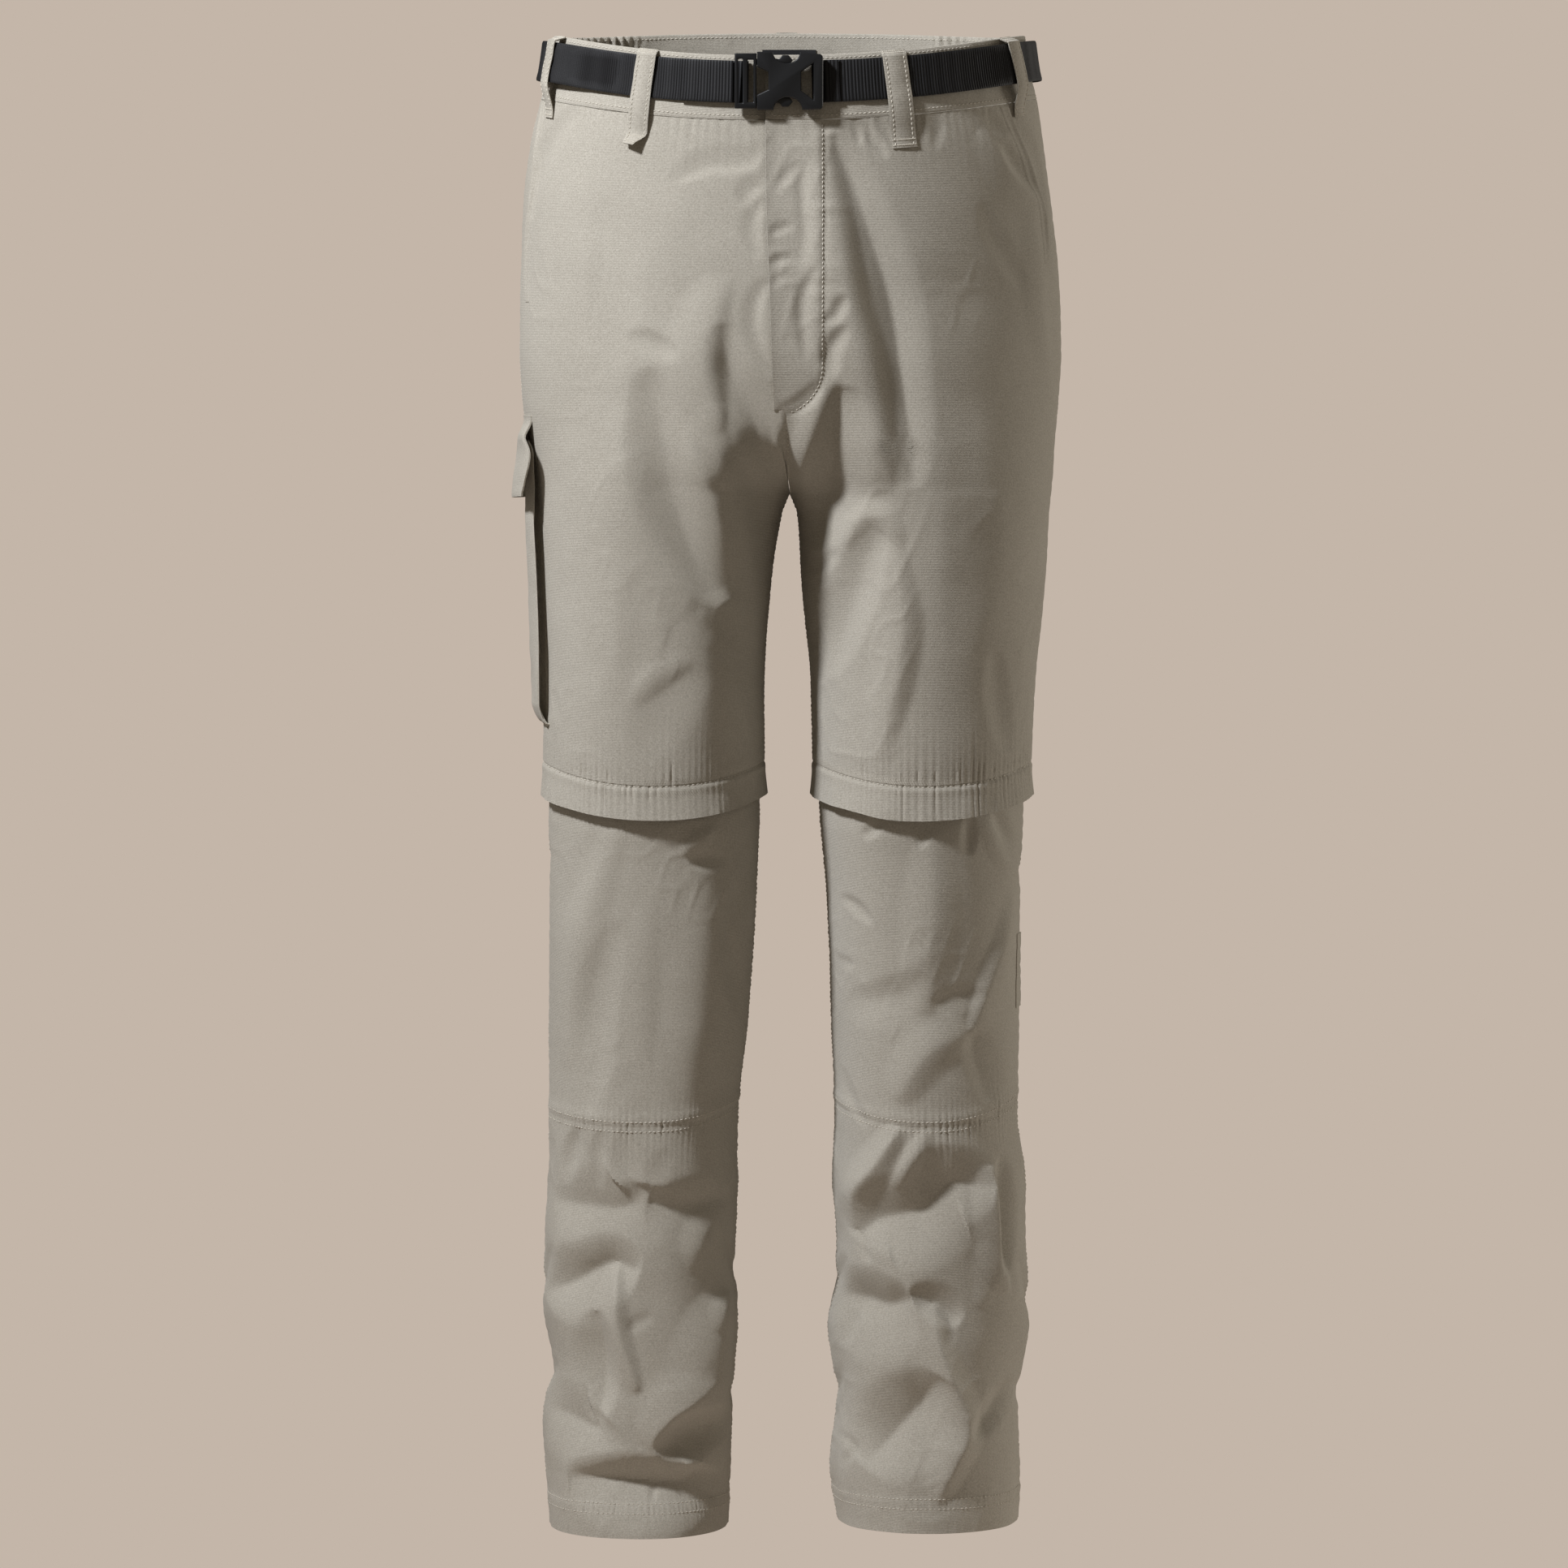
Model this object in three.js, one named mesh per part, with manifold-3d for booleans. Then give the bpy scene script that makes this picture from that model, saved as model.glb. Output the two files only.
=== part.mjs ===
// Convertible zip-off trousers with a webbing belt, hollow as worn, in millimetres.
// +Z is up, the front faces -Y and +X is the wearer's left.
// The origin is the middle of the waist opening, halfway up the waistband at the side seams.
import * as THREE from "three";
import { mergeVertices } from "three/addons/utils/BufferGeometryUtils.js";
import Module from "manifold-3d";

const wasm = await Module();
wasm.setup();

// Heights of the seams, as they lie at the side seams.
const bandTop = 24;
const bandBottom = -22;
const crotchHeight = -308;
const kneeSeam = -500;
const lowerLegTop = -504;
const crossSeam = -762;
const hemHeight = { right: -1060, left: -1056 };

// How far the waist drops at the front and rises at the back, and the knee seam dips at the front.
const waistDropFront = 18;
const waistRiseBack = 7;
const waistLevelHeight = -200;
const kneeDip = 14;
const kneeDipReach = 85;

// Walls and seams.
const clothWall = 1.5;
const doubledWall = 2.4;
const seamGap = 0.3;
const layerGap = 0.5;
const appliedThick = 1.1;
const bandStandOut = 0.8;
const lowerLegInset = 2.6;
const ovalPower = 2.2;
const halfPerimeter = 470;
const panelColumns = 11;

// Belt, loops and buckle.
const webbingWidth = 30;
const webbingThick = 1.4;
const beltMiddle = 4.5;
const beltBow = 5;
const loopWidth = 15.5;
const loopThick = 1.2;
const buckleHeight = 41;
const buckleThick = 6.5;

// Fly, pockets and knee cover.
const flyStraightEnd = -215;
const flyBottom = -249;
const flyWidthAt = 26;
const pocketDepth = 10;
const pocketTop = -268;
const pocketBottom = -472;
const pocketFront = 0.415;
const pocketBack = 0.69;
const coverDepth = 25;
const coverFlare = 4.5;
const slitHeight = 44;
const slitGap = { right: 1, left: 5 };

// Each leg's cloth in section: how far its outer and inner sides are from the middle plane, and its
// front and back. Above the crotch the inner side lies past the middle plane, where the leg is cut off
// and joins the other one.
const sections = {
  right: [
    { z: 40, outer: 167, inner: -167, front: -116, back: 118 },
    { z: 0, outer: 171, inner: -171, front: -118, back: 122 },
    { z: -24, outer: 178, inner: -176, front: -120, back: 127 },
    { z: -54, outer: 185, inner: -182, front: -123, back: 133 },
    { z: -100, outer: 191, inner: -186, front: -127, back: 143 },
    { z: -150, outer: 193, inner: -184, front: -129, back: 150 },
    { z: -200, outer: 194, inner: -150, front: -128, back: 151 },
    { z: -240, outer: 192, inner: -102, front: -124, back: 147 },
    { z: -270, outer: 187, inner: -55, front: -121, back: 141 },
    { z: -290, outer: 184, inner: -22, front: -118, back: 137 },
    { z: -302, outer: 182.5, inner: -5.5, front: -116, back: 135 },
    { z: -308, outer: 182, inner: -1.8, front: -115.5, back: 134 },
    { z: -324, outer: 181, inner: 4, front: -114, back: 131 },
    { z: -380, outer: 178, inner: 12, front: -108, back: 118 },
    { z: -450, outer: 176.5, inner: 16, front: -100, back: 104 },
    { z: -500, outer: 177, inner: 16, front: -95, back: 95 },
    { z: -541, outer: 173, inner: 19.5, front: -89, back: 86 },
    { z: -600, outer: 172.5, inner: 22, front: -84, back: 84 },
    { z: -680, outer: 173.5, inner: 27, front: -78, back: 88 },
    { z: -762, outer: 174, inner: 35, front: -74, back: 92 },
    { z: -800, outer: 173, inner: 36.5, front: -74, back: 93 },
    { z: -850, outer: 177, inner: 37, front: -73, back: 94 },
    { z: -890, outer: 179, inner: 36, front: -73, back: 93 },
    { z: -940, outer: 171, inner: 38, front: -72, back: 92 },
    { z: -985, outer: 178.5, inner: 40, front: -74, back: 92 },
    { z: -1020, outer: 176, inner: 41.5, front: -76, back: 92 },
    { z: -1064, outer: 172, inner: 44, front: -78, back: 91 },
  ],
  left: [
    { z: 40, outer: 171, inner: -171, front: -116, back: 118 },
    { z: 0, outer: 175, inner: -175, front: -118, back: 122 },
    { z: -24, outer: 181, inner: -178, front: -120, back: 127 },
    { z: -54, outer: 186, inner: -182, front: -123, back: 133 },
    { z: -100, outer: 192, inner: -184, front: -127, back: 143 },
    { z: -150, outer: 197, inner: -184, front: -129, back: 150 },
    { z: -200, outer: 199, inner: -149, front: -128, back: 151 },
    { z: -240, outer: 197.5, inner: -101, front: -124, back: 147 },
    { z: -270, outer: 195, inner: -54, front: -121, back: 141 },
    { z: -290, outer: 194, inner: -21, front: -118, back: 137 },
    { z: -302, outer: 193, inner: -3.5, front: -116, back: 135 },
    { z: -308, outer: 192.5, inner: 2.2, front: -115.5, back: 134 },
    { z: -324, outer: 191, inner: 8, front: -114, back: 131 },
    { z: -380, outer: 186.5, inner: 12.5, front: -108, back: 118 },
    { z: -450, outer: 180, inner: 18.5, front: -100, back: 104 },
    { z: -500, outer: 178, inner: 19, front: -95, back: 95 },
    { z: -541, outer: 172.5, inner: 24, front: -89, back: 86 },
    { z: -600, outer: 170, inner: 29.5, front: -84, back: 84 },
    { z: -680, outer: 169, inner: 33, front: -78, back: 88 },
    { z: -762, outer: 169, inner: 35, front: -74, back: 92 },
    { z: -800, outer: 174, inner: 33.7, front: -74, back: 93 },
    { z: -850, outer: 175.5, inner: 36, front: -73, back: 94 },
    { z: -890, outer: 177.5, inner: 34, front: -73, back: 93 },
    { z: -911, outer: 177, inner: 31, front: -72.5, back: 92 },
    { z: -970, outer: 169, inner: 37, front: -73, back: 92 },
    { z: -1014, outer: 170, inner: 32.5, front: -75, back: 92 },
    { z: -1062, outer: 168, inner: 39, front: -78, back: 91 },
  ],
};

// The middle seam: the fly's leading edge at the front, which laps to the wearer's right, and the
// seat seam at the back.
const middleRows = [
  { z: 40, front: -15, back: 0 },
  { z: -60, front: -14.5, back: 0 },
  { z: -180, front: -11, back: 0 },
  { z: -246, front: -7.5, back: 0 },
  { z: -290, front: 0.5, back: 1 },
  { z: -308, front: 2, back: 2 },
];

// The largest folds. A path runs over the named face: across and up for the front and back, and
// back and up for the sides.
const folds = [
  { leg: "right", face: "front", path: [[-16, -58], [-74, -82]], wide: 20, deep: -3 },
  { leg: "right", face: "front", path: [[-27, -88], [-25, -150], [-20, -205]], wide: 20, deep: -6 },
  { leg: "right", face: "front", path: [[-46, -176], [-46, -278], [-34, -400]], wide: 26, deep: -8 },
  { leg: "right", face: "front", path: [[-103, -193], [-84, -300], [-42, -384]], wide: 24, deep: -7 },
  { leg: "right", face: "front", path: [[-74, -275], [-60, -356]], wide: 22, deep: 4 },
  { leg: "right", face: "front", path: [[-70, -436], [-98, -474]], wide: 18, deep: -4 },
  { leg: "left", face: "front", path: [[39, -84], [43, -215]], wide: 16, deep: 5 },
  { leg: "left", face: "front", path: [[35, -60], [58, -140], [76, -200]], wide: 18, deep: -5 },
  { leg: "left", face: "front", path: [[38, -222], [14, -324]], wide: 20, deep: 5 },
  { leg: "left", face: "front", path: [[42, -234], [30, -300], [18, -330]], wide: 18, deep: -5 },
  { leg: "left", face: "front", path: [[74, -332], [52, -470]], wide: 24, deep: 5 },
  { leg: "left", face: "front", path: [[50, -330], [26, -440]], wide: 24, deep: -6 },
  { leg: "right", face: "back", path: [[-60, -200], [-28, -262]], wide: 26, deep: -6 },
  { leg: "left", face: "back", path: [[66, -190], [30, -258]], wide: 26, deep: -6 },
  { leg: "right", face: "back", path: [[-38, -300], [-80, -372]], wide: 26, deep: -7 },
  { leg: "left", face: "back", path: [[42, -312], [96, -398]], wide: 28, deep: -7 },
  { leg: "right", face: "back", path: [[-150, -446], [-60, -466]], wide: 20, deep: -5 },
  { leg: "left", face: "back", path: [[60, -436], [140, -464]], wide: 20, deep: -5 },
  { leg: "right", face: "front", path: [[-150, -780], [-126, -830]], wide: 30, deep: -6 },
  { leg: "right", face: "front", path: [[-172, -838], [-104, -832], [-44, -826]], wide: 16, deep: 5 },
  { leg: "right", face: "front", path: [[-176, -892], [-144, -862], [-112, -874]], wide: 16, deep: -7 },
  { leg: "right", face: "front", path: [[-154, -912], [-150, -952]], wide: 22, deep: -6 },
  { leg: "right", face: "front", path: [[-55, -956], [-100, -998]], wide: 20, deep: 8 },
  { leg: "right", face: "front", path: [[-66, -992], [-52, -1008]], wide: 20, deep: -6 },
  { leg: "right", face: "front", path: [[-154, -1026], [-98, -1010], [-66, -1028]], wide: 13, deep: -8 },
  { leg: "left", face: "front", path: [[72, -772], [50, -826]], wide: 16, deep: -5 },
  { leg: "left", face: "front", path: [[52, -850], [72, -834], [124, -806]], wide: 20, deep: -8 },
  { leg: "left", face: "front", path: [[146, -800], [155, -872]], wide: 15, deep: 5 },
  { leg: "left", face: "front", path: [[32, -898], [62, -870], [90, -884], [124, -906]], wide: 17, deep: -8 },
  { leg: "left", face: "front", path: [[110, -904], [108, -950]], wide: 18, deep: 5 },
  { leg: "left", face: "front", path: [[90, -955], [70, -990], [56, -1018]], wide: 26, deep: -8 },
  { leg: "left", face: "front", path: [[160, -966], [128, -1010]], wide: 18, deep: -6 },
  { leg: "right", face: "back", path: [[-168, -560], [-100, -584], [-50, -566]], wide: 26, deep: -7 },
  { leg: "left", face: "back", path: [[52, -566], [110, -590], [164, -562]], wide: 26, deep: -7 },
  { leg: "right", face: "back", path: [[-60, -842], [-150, -872]], wide: 24, deep: -7 },
  { leg: "left", face: "back", path: [[60, -852], [150, -880]], wide: 24, deep: -7 },
  { leg: "right", face: "back", path: [[-150, -930], [-62, -962]], wide: 22, deep: -7 },
  { leg: "left", face: "back", path: [[58, -936], [140, -970]], wide: 22, deep: -7 },
  { leg: "right", face: "outer", path: [[-20, -868], [40, -900]], wide: 18, deep: -5 },
  { leg: "left", face: "outer", path: [[-24, -880], [44, -908]], wide: 18, deep: -5 },
  { leg: "right", face: "inner", path: [[-20, -850], [40, -880]], wide: 20, deep: -5 },
  { leg: "left", face: "inner", path: [[-24, -860], [44, -880]], wide: 20, deep: -5 },
];

const sideOf = { right: -1, left: 1 };

const clothMaterial = { color: 0x9f9787, roughness: 0.9 };
const webbingMaterial = { color: 0x17171a, roughness: 0.7 };
const plasticMaterial = { color: 0x1c1d20, roughness: 0.45 };
const tapeMaterial = { color: 0x6f6858, roughness: 0.8 };
const labelMaterial = { color: 0x1a1a1c, roughness: 0.8 };

const trousers = new THREE.Group();

// A soft step from 0 at start to 1 at end, which may lie either way round.
function smooth(start, end, value) {
  const q = THREE.MathUtils.clamp((value - start) / (end - start), 0, 1);
  return q * q * (3 - 2 * q);
}

function evenly(from, to, count) {
  return Array.from({ length: count + 1 }, (_, i) => from + ((to - from) * i) / count);
}

// A smooth value between a table's rows, which run downwards in z.
function between(rows, z, column) {
  const last = rows.length - 1;
  if (z >= rows[0].z) return rows[0][column];
  if (z <= rows[last].z) return rows[last][column];
  const i = rows.findIndex((row, k) => k < last && z > rows[k + 1].z);
  const slope = (k) => {
    if (k <= 0 || k >= last) return 0;
    const above = (rows[k][column] - rows[k - 1][column]) / (rows[k].z - rows[k - 1].z);
    const below = (rows[k + 1][column] - rows[k][column]) / (rows[k + 1].z - rows[k].z);
    return above * below <= 0 ? 0 : (2 * above * below) / (above + below);
  };
  const span = rows[i + 1].z - rows[i].z;
  const q = (z - rows[i].z) / span;
  const a = rows[i][column];
  const b = rows[i + 1][column];
  const rise = q * q * (3 - 2 * q);
  const bend = q * (1 - q) * span * (slope(i) * (1 - q) - slope(i + 1) * q);
  return a + (b - a) * rise + bend;
}

function power(value, exponent) {
  return Math.sign(value) * Math.pow(Math.abs(value), exponent);
}

// How far a level line on the cloth is moved up by the waist's tilt and the knee seam's dip.
function seamLift(station, z) {
  const turn = (1 + Math.cos(2 * Math.PI * station)) / 2;
  const waist = (station < 0.5 ? -waistDropFront : waistRiseBack) * turn;
  const knee = station < 0.5 ? -kneeDip * Math.sin(2 * Math.PI * station) ** 2 : 0;
  const nearKnee = Math.max(0, 1 - ((z - kneeSeam) / kneeDipReach) ** 2);
  return waist * smooth(waistLevelHeight, bandBottom, z) + knee * nearKnee ** 2;
}

// The unfolded cloth. The station runs from 0 at the front middle or inseam, over 0.5 at the side
// seam, to 1 at the back.
function formPoint(leg, station, z) {
  const side = sideOf[leg];
  const rows = sections[leg];
  const outer = between(rows, z, "outer");
  const inner = between(rows, z, "inner");
  const front = between(rows, z, "front");
  const back = between(rows, z, "back");
  const halfWidth = (outer - inner) / 2;
  const middle = (outer + inner) / 2;
  const cut = side * between(middleRows, z, station < 0.5 ? "front" : "back");
  const reach = z <= crotchHeight ? -1 : THREE.MathUtils.clamp((cut - middle) / halfWidth, -1, 1);
  const most = Math.acos(power(reach, ovalPower / 2));
  const turn = (2 * station - 1) * most;
  const x = middle + halfWidth * power(Math.cos(turn), 2 / ovalPower);
  const y = (front + back) / 2 + ((back - front) / 2) * power(Math.sin(turn), 2 / ovalPower);
  return new THREE.Vector3(side * x, y, z + seamLift(station, z));
}

// A surface's normal by small steps, turned by facing to point out of the garment.
function normalOf(surface, u, v, facing) {
  const du = 0.002;
  const dv = 0.6;
  const along = surface(u + du, v).sub(surface(u - du, v));
  const up = surface(u, v + dv).sub(surface(u, v - dv));
  return along.cross(up).normalize().multiplyScalar(facing);
}

// A path's nearest distance to a place, with the share of the path where it is.
function nearPath(path, across, up) {
  const ends = path.slice(1).map((end, i) => ({ from: path[i], to: end }));
  const lengths = ends.map((part) => Math.hypot(part.to[0] - part.from[0], part.to[1] - part.from[1]));
  const total = lengths.reduce((sum, length) => sum + length, 0);
  let best = { distance: Infinity, share: 0 };
  let before = 0;
  ends.forEach((part, i) => {
    const dx = part.to[0] - part.from[0];
    const dz = part.to[1] - part.from[1];
    const along = ((across - part.from[0]) * dx + (up - part.from[1]) * dz) / lengths[i] ** 2;
    const q = THREE.MathUtils.clamp(along, 0, 1);
    const distance = Math.hypot(across - part.from[0] - q * dx, up - part.from[1] - q * dz);
    if (distance < best.distance) best = { distance, share: (before + q * lengths[i]) / total };
    before += lengths[i];
  });
  return best;
}

function faceWeight(face, side, normal) {
  const toward = { front: -normal.y, back: normal.y, outer: side * normal.x, inner: -side * normal.x }[face];
  return smooth(0.1, 0.6, toward);
}

// The cloth with its folds moved in and out along the form's normal.
function clothPoint(leg, station, z) {
  const side = sideOf[leg];
  const point = formPoint(leg, station, z);
  const normal = normalOf((u, v) => formPoint(leg, u, v), station, z, side);
  let move = 0;
  for (const fold of folds) {
    if (fold.leg !== leg) continue;
    const across = fold.face === "front" || fold.face === "back" ? point.x : point.y;
    const near = nearPath(fold.path, across, point.z);
    if (near.distance >= fold.wide) continue;
    const taper = 1 - (2 * near.share - 1) ** 4;
    const profile = (1 - (near.distance / fold.wide) ** 2) ** 2;
    move += fold.deep * taper * profile * faceWeight(fold.face, side, normal);
  }
  return point.addScaledVector(normal, move);
}

// The station on a leg's front half, or back half, where the form reaches an x.
function stationAt(leg, z, x, half = "front") {
  let low = half === "front" ? 0 : 1;
  let high = 0.5;
  const side = sideOf[leg];
  for (let i = 0; i < 30; i += 1) {
    const middle = (low + high) / 2;
    if (side * formPoint(leg, middle, z).x < side * x) low = middle;
    else high = middle;
  }
  return (low + high) / 2;
}

// The waist taken all round: 0 at the back middle, 1 at the front over the wearer's left, -1 over the right.
function aroundWaist(turn, z) {
  return formPoint(turn >= 0 ? "left" : "right", 1 - Math.abs(turn), z);
}

function valueOf(measure, u, v) {
  return typeof measure === "function" ? measure(u, v) : measure;
}

// A closed wall between two offsets from a surface. A ring joins its last column to its first.
function wall({ surface, across, down, inner, outer, facing, ring = false }) {
  const columns = across.length;
  const rows = down.length;
  const points = [];
  for (const offset of [outer, inner]) {
    for (const v of down) {
      for (const u of across) {
        const normal = normalOf(surface, u, v, facing);
        points.push(surface(u, v).addScaledVector(normal, valueOf(offset, u, v)));
      }
    }
  }
  const layer = columns * rows;
  const at = (side, row, column) => side * layer + row * columns + (column % columns);
  const faces = [];
  const quad = (a, b, c, d) => faces.push(a, b, c, a, c, d);
  const spans = ring ? columns : columns - 1;
  for (let row = 0; row < rows - 1; row += 1) {
    for (let column = 0; column < spans; column += 1) {
      quad(at(0, row, column), at(0, row + 1, column), at(0, row + 1, column + 1), at(0, row, column + 1));
      quad(at(1, row, column), at(1, row, column + 1), at(1, row + 1, column + 1), at(1, row + 1, column));
    }
  }
  for (let column = 0; column < spans; column += 1) {
    const end = rows - 1;
    quad(at(0, 0, column), at(0, 0, column + 1), at(1, 0, column + 1), at(1, 0, column));
    quad(at(0, end, column), at(1, end, column), at(1, end, column + 1), at(0, end, column + 1));
  }
  for (let row = 0; row < rows - 1 && !ring; row += 1) {
    const end = columns - 1;
    quad(at(0, row, 0), at(1, row, 0), at(1, row + 1, 0), at(0, row + 1, 0));
    quad(at(0, row, end), at(0, row + 1, end), at(1, row + 1, end), at(1, row, end));
  }
  return closedGeometry(points, faces);
}

// A geometry from points and triangles, turned right side out.
function closedGeometry(points, faces) {
  let volume = 0;
  for (let i = 0; i < faces.length; i += 3) {
    const [a, b, c] = [points[faces[i]], points[faces[i + 1]], points[faces[i + 2]]];
    volume += a.dot(b.clone().cross(c)) / 6;
  }
  if (volume < 0) faces.reverse();
  const geometry = new THREE.BufferGeometry().setFromPoints(points);
  geometry.setIndex(faces);
  geometry.computeVertexNormals();
  return geometry;
}

function add(name, geometry, look) {
  const mesh = new THREE.Mesh(geometry, new THREE.MeshStandardMaterial(look));
  mesh.name = name;
  trousers.add(mesh);
  return mesh;
}

function solidFrom(geometry) {
  const bare = geometry.clone();
  bare.deleteAttribute("normal");
  bare.deleteAttribute("uv");
  const merged = mergeVertices(bare, 1e-3);
  return new wasm.Manifold(
    new wasm.Mesh({
      numProp: 3,
      vertProperties: merged.attributes.position.array,
      triVerts: new Uint32Array(merged.index.array),
    }),
  );
}

function geometryFrom(solid) {
  const made = solid.getMesh();
  const geometry = new THREE.BufferGeometry();
  geometry.setAttribute("position", new THREE.BufferAttribute(new Float32Array(made.vertProperties), 3));
  geometry.setIndex(new THREE.BufferAttribute(new Uint32Array(made.triVerts), 1));
  geometry.computeVertexNormals();
  return geometry;
}

// One leg's panel between two stations, which may change down the leg.
function legPanel({ leg, from, to, down, inner = -clothWall, outer = 0 }) {
  const halfGap = seamGap / 2 / halfPerimeter;
  const surface = (u, v) => {
    const start = valueOf(from, 0, v) + halfGap;
    const end = valueOf(to, 0, v) - halfGap;
    return clothPoint(leg, start + (end - start) * u, v);
  };
  return wall({ surface, across: evenly(0, 1, panelColumns), down, inner, outer, facing: sideOf[leg] });
}

// Rows down the shorts part, closer together where the crotch seam turns under.
function upperRows() {
  const crotchRows = [-268, -280, -289, -296, -301, -305, -308, -313, -322];
  const top = evenly(bandBottom - seamGap, -250, 10);
  const bottom = evenly(-340, kneeSeam, 7);
  return [...top, ...crotchRows, ...bottom];
}

function addUpperPanels(leg) {
  const down = upperRows();
  add(`front_${leg}`, legPanel({ leg, from: 0, to: 0.5, down }), clothMaterial);
  add(`back_${leg}`, legPanel({ leg, from: 0.5, to: 1, down }), clothMaterial);
}

function lowerRows(leg) {
  return [...evenly(lowerLegTop, crossSeam, 10), ...evenly(crossSeam, hemHeight[leg], 15).slice(1)];
}

const nodePoints = new Map();

// A panel's own corner point, by its column round the leg and its height.
function panelNode(leg, column, z) {
  const key = `${leg} ${column} ${z}`;
  if (!nodePoints.has(key)) nodePoints.set(key, clothPoint(leg, column / (2 * panelColumns), z));
  return nodePoints.get(key);
}

// A place on a panel's flat facets, for what is sewn on it.
function facetPoint(leg, station, z) {
  const rows = z > kneeSeam ? upperRows() : lowerRows(leg);
  const found = rows.findIndex((row) => row <= z);
  const below = found < 0 ? rows.length - 1 : Math.max(found, 1);
  const down = (rows[below - 1] - z) / (rows[below - 1] - rows[below]);
  const place = station * 2 * panelColumns;
  const column = THREE.MathUtils.clamp(Math.floor(place), 0, 2 * panelColumns - 1);
  const across = place - column;
  const corner = (row, step) => panelNode(leg, column + step, rows[row]);
  const start = corner(below - 1, 0).clone();
  const far = corner(below, 1);
  const turn = across > down ? corner(below - 1, 1) : corner(below, 0);
  const [first, second] = across > down ? [across, down] : [down, across];
  return start.addScaledVector(turn.clone().sub(start), first)
    .addScaledVector(far.clone().sub(turn), second);
}

// The lower leg starts narrower, under the knee cover, and widens to its full size below it.
function lowerLegOffset(u, v) {
  return -lowerLegInset * smooth(-548, -516, v);
}

function addLowerLeg(leg) {
  const hem = hemHeight[leg];
  const slit = (u, v) => ((slitGap[leg] / 2) * smooth(hem + slitHeight, hem, v)) / halfPerimeter;
  const outer = lowerLegOffset;
  const inner = (u, v) => lowerLegOffset(u, v) - clothWall;
  const kneeRows = evenly(lowerLegTop, crossSeam + seamGap / 2, 10);
  const shinRows = evenly(crossSeam - seamGap / 2, hem, 15);
  const sideEdge = (u, v) => 0.5 - slit(u, v);
  const calfEdge = (u, v) => 0.5 + slit(u, v);
  const knee = legPanel({ leg, from: 0, to: 0.5, down: kneeRows, inner, outer });
  const shin = legPanel({ leg, from: 0, to: sideEdge, down: shinRows, inner, outer });
  const calf = legPanel({ leg, from: calfEdge, to: 1, down: lowerRows(leg), inner, outer });
  add(`knee_front_${leg}`, knee, clothMaterial);
  add(`shin_front_${leg}`, shin, clothMaterial);
  add(`calf_back_${leg}`, calf, clothMaterial);
}

// The zip's tape ring lies inside the shorts' edge and inside the lower leg's top.
function addKneeZip(leg) {
  const tapeTop = kneeSeam + 10;
  const tapeBottom = lowerLegTop - 12;
  const insidePanel = -clothWall - layerGap;
  const insideLower = -lowerLegInset - clothWall - layerGap;
  const outer = (u, v) => THREE.MathUtils.mapLinear(
    smooth(lowerLegTop, kneeSeam - 1, v), 0, 1, insideLower, insidePanel,
  );
  const inner = (u, v) => outer(u, v) - appliedThick;
  const down = [tapeTop, kneeSeam - 0.5, lowerLegTop + 0.4, tapeBottom];
  const surface = (u, v) => facetPoint(leg, u < 0 ? u + 1 : u, v);
  const across = evenly(0, 1, 2 * panelColumns).slice(0, -1);
  const tape = wall({ surface, across, down, inner, outer, facing: sideOf[leg], ring: true });
  add(`knee_zip_${leg}`, tape, tapeMaterial);
}

// The shorts' hem, hanging free over the zip and standing a little off the lower leg.
function addZipCover(leg) {
  const side = sideOf[leg];
  const surface = (u, v) => {
    const edge = clothPoint(leg, u, kneeSeam);
    const normal = normalOf((a, b) => formPoint(leg, a, b), u, kneeSeam, side);
    const fall = kneeSeam - v;
    const flare = coverFlare * Math.pow(Math.max(0, fall) / coverDepth, 1.2);
    edge.x += normal.x * flare;
    edge.y += normal.y * flare;
    edge.z -= fall;
    return edge;
  };
  const down = [kneeSeam - seamGap, kneeSeam - 9, kneeSeam - 17, kneeSeam - coverDepth];
  const across = evenly(0, 1, 2 * panelColumns).slice(0, -1);
  const cover = wall({ surface, across, down, inner: -1.6, outer: 0.2, facing: side, ring: true });
  add(`zip_cover_${leg}`, cover, clothMaterial);
}

// The fly flap lies on the left front from the leading edge to its curved row of stitching.
function flyEdge(z) {
  const below = THREE.MathUtils.clamp((flyStraightEnd - z) / (flyStraightEnd - flyBottom), 0, 1);
  const lead = between(middleRows, z, "front");
  return lead + (flyWidthAt - lead) * Math.sqrt(1 - below ** 2);
}

function addFly() {
  const column = 1 / (2 * panelColumns);
  const surface = (u, v) => {
    const station = stationAt("left", v, flyEdge(v));
    const middle = Math.min(column, 0.6 * station);
    const place = u < 1 ? middle * u : middle + (station - middle) * (u - 1);
    return facetPoint("left", place + 0.0004, v);
  };
  const straight = upperRows().filter((z) => z > flyStraightEnd);
  const curved = [flyStraightEnd, -223, -231, -238, -243, flyBottom + 2.5];
  const down = [...straight, ...curved];
  const inner = layerGap + seamGap;
  const outer = inner + appliedThick;
  add("fly", wall({ surface, across: [0, 1, 2], down, inner, outer, facing: 1 }), clothMaterial);
}

// The waistband's lengths, by their turn round the waist. The elastic sides are drawn up in waves.
const bandLengths = [
  { name: "waistband_front_left", from: 1, to: 0.5, columns: 12, waves: 0 },
  { name: "waistband_side_left", from: 0.5, to: 0.2, columns: 30, waves: 10 },
  { name: "waistband_back", from: 0.2, to: -0.2, columns: 12, waves: 0 },
  { name: "waistband_side_right", from: -0.2, to: -0.5, columns: 30, waves: 10 },
  { name: "waistband_front_right", from: -0.5, to: -1, columns: 12, waves: 0 },
];
const gatherDepth = 1.3;

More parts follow.
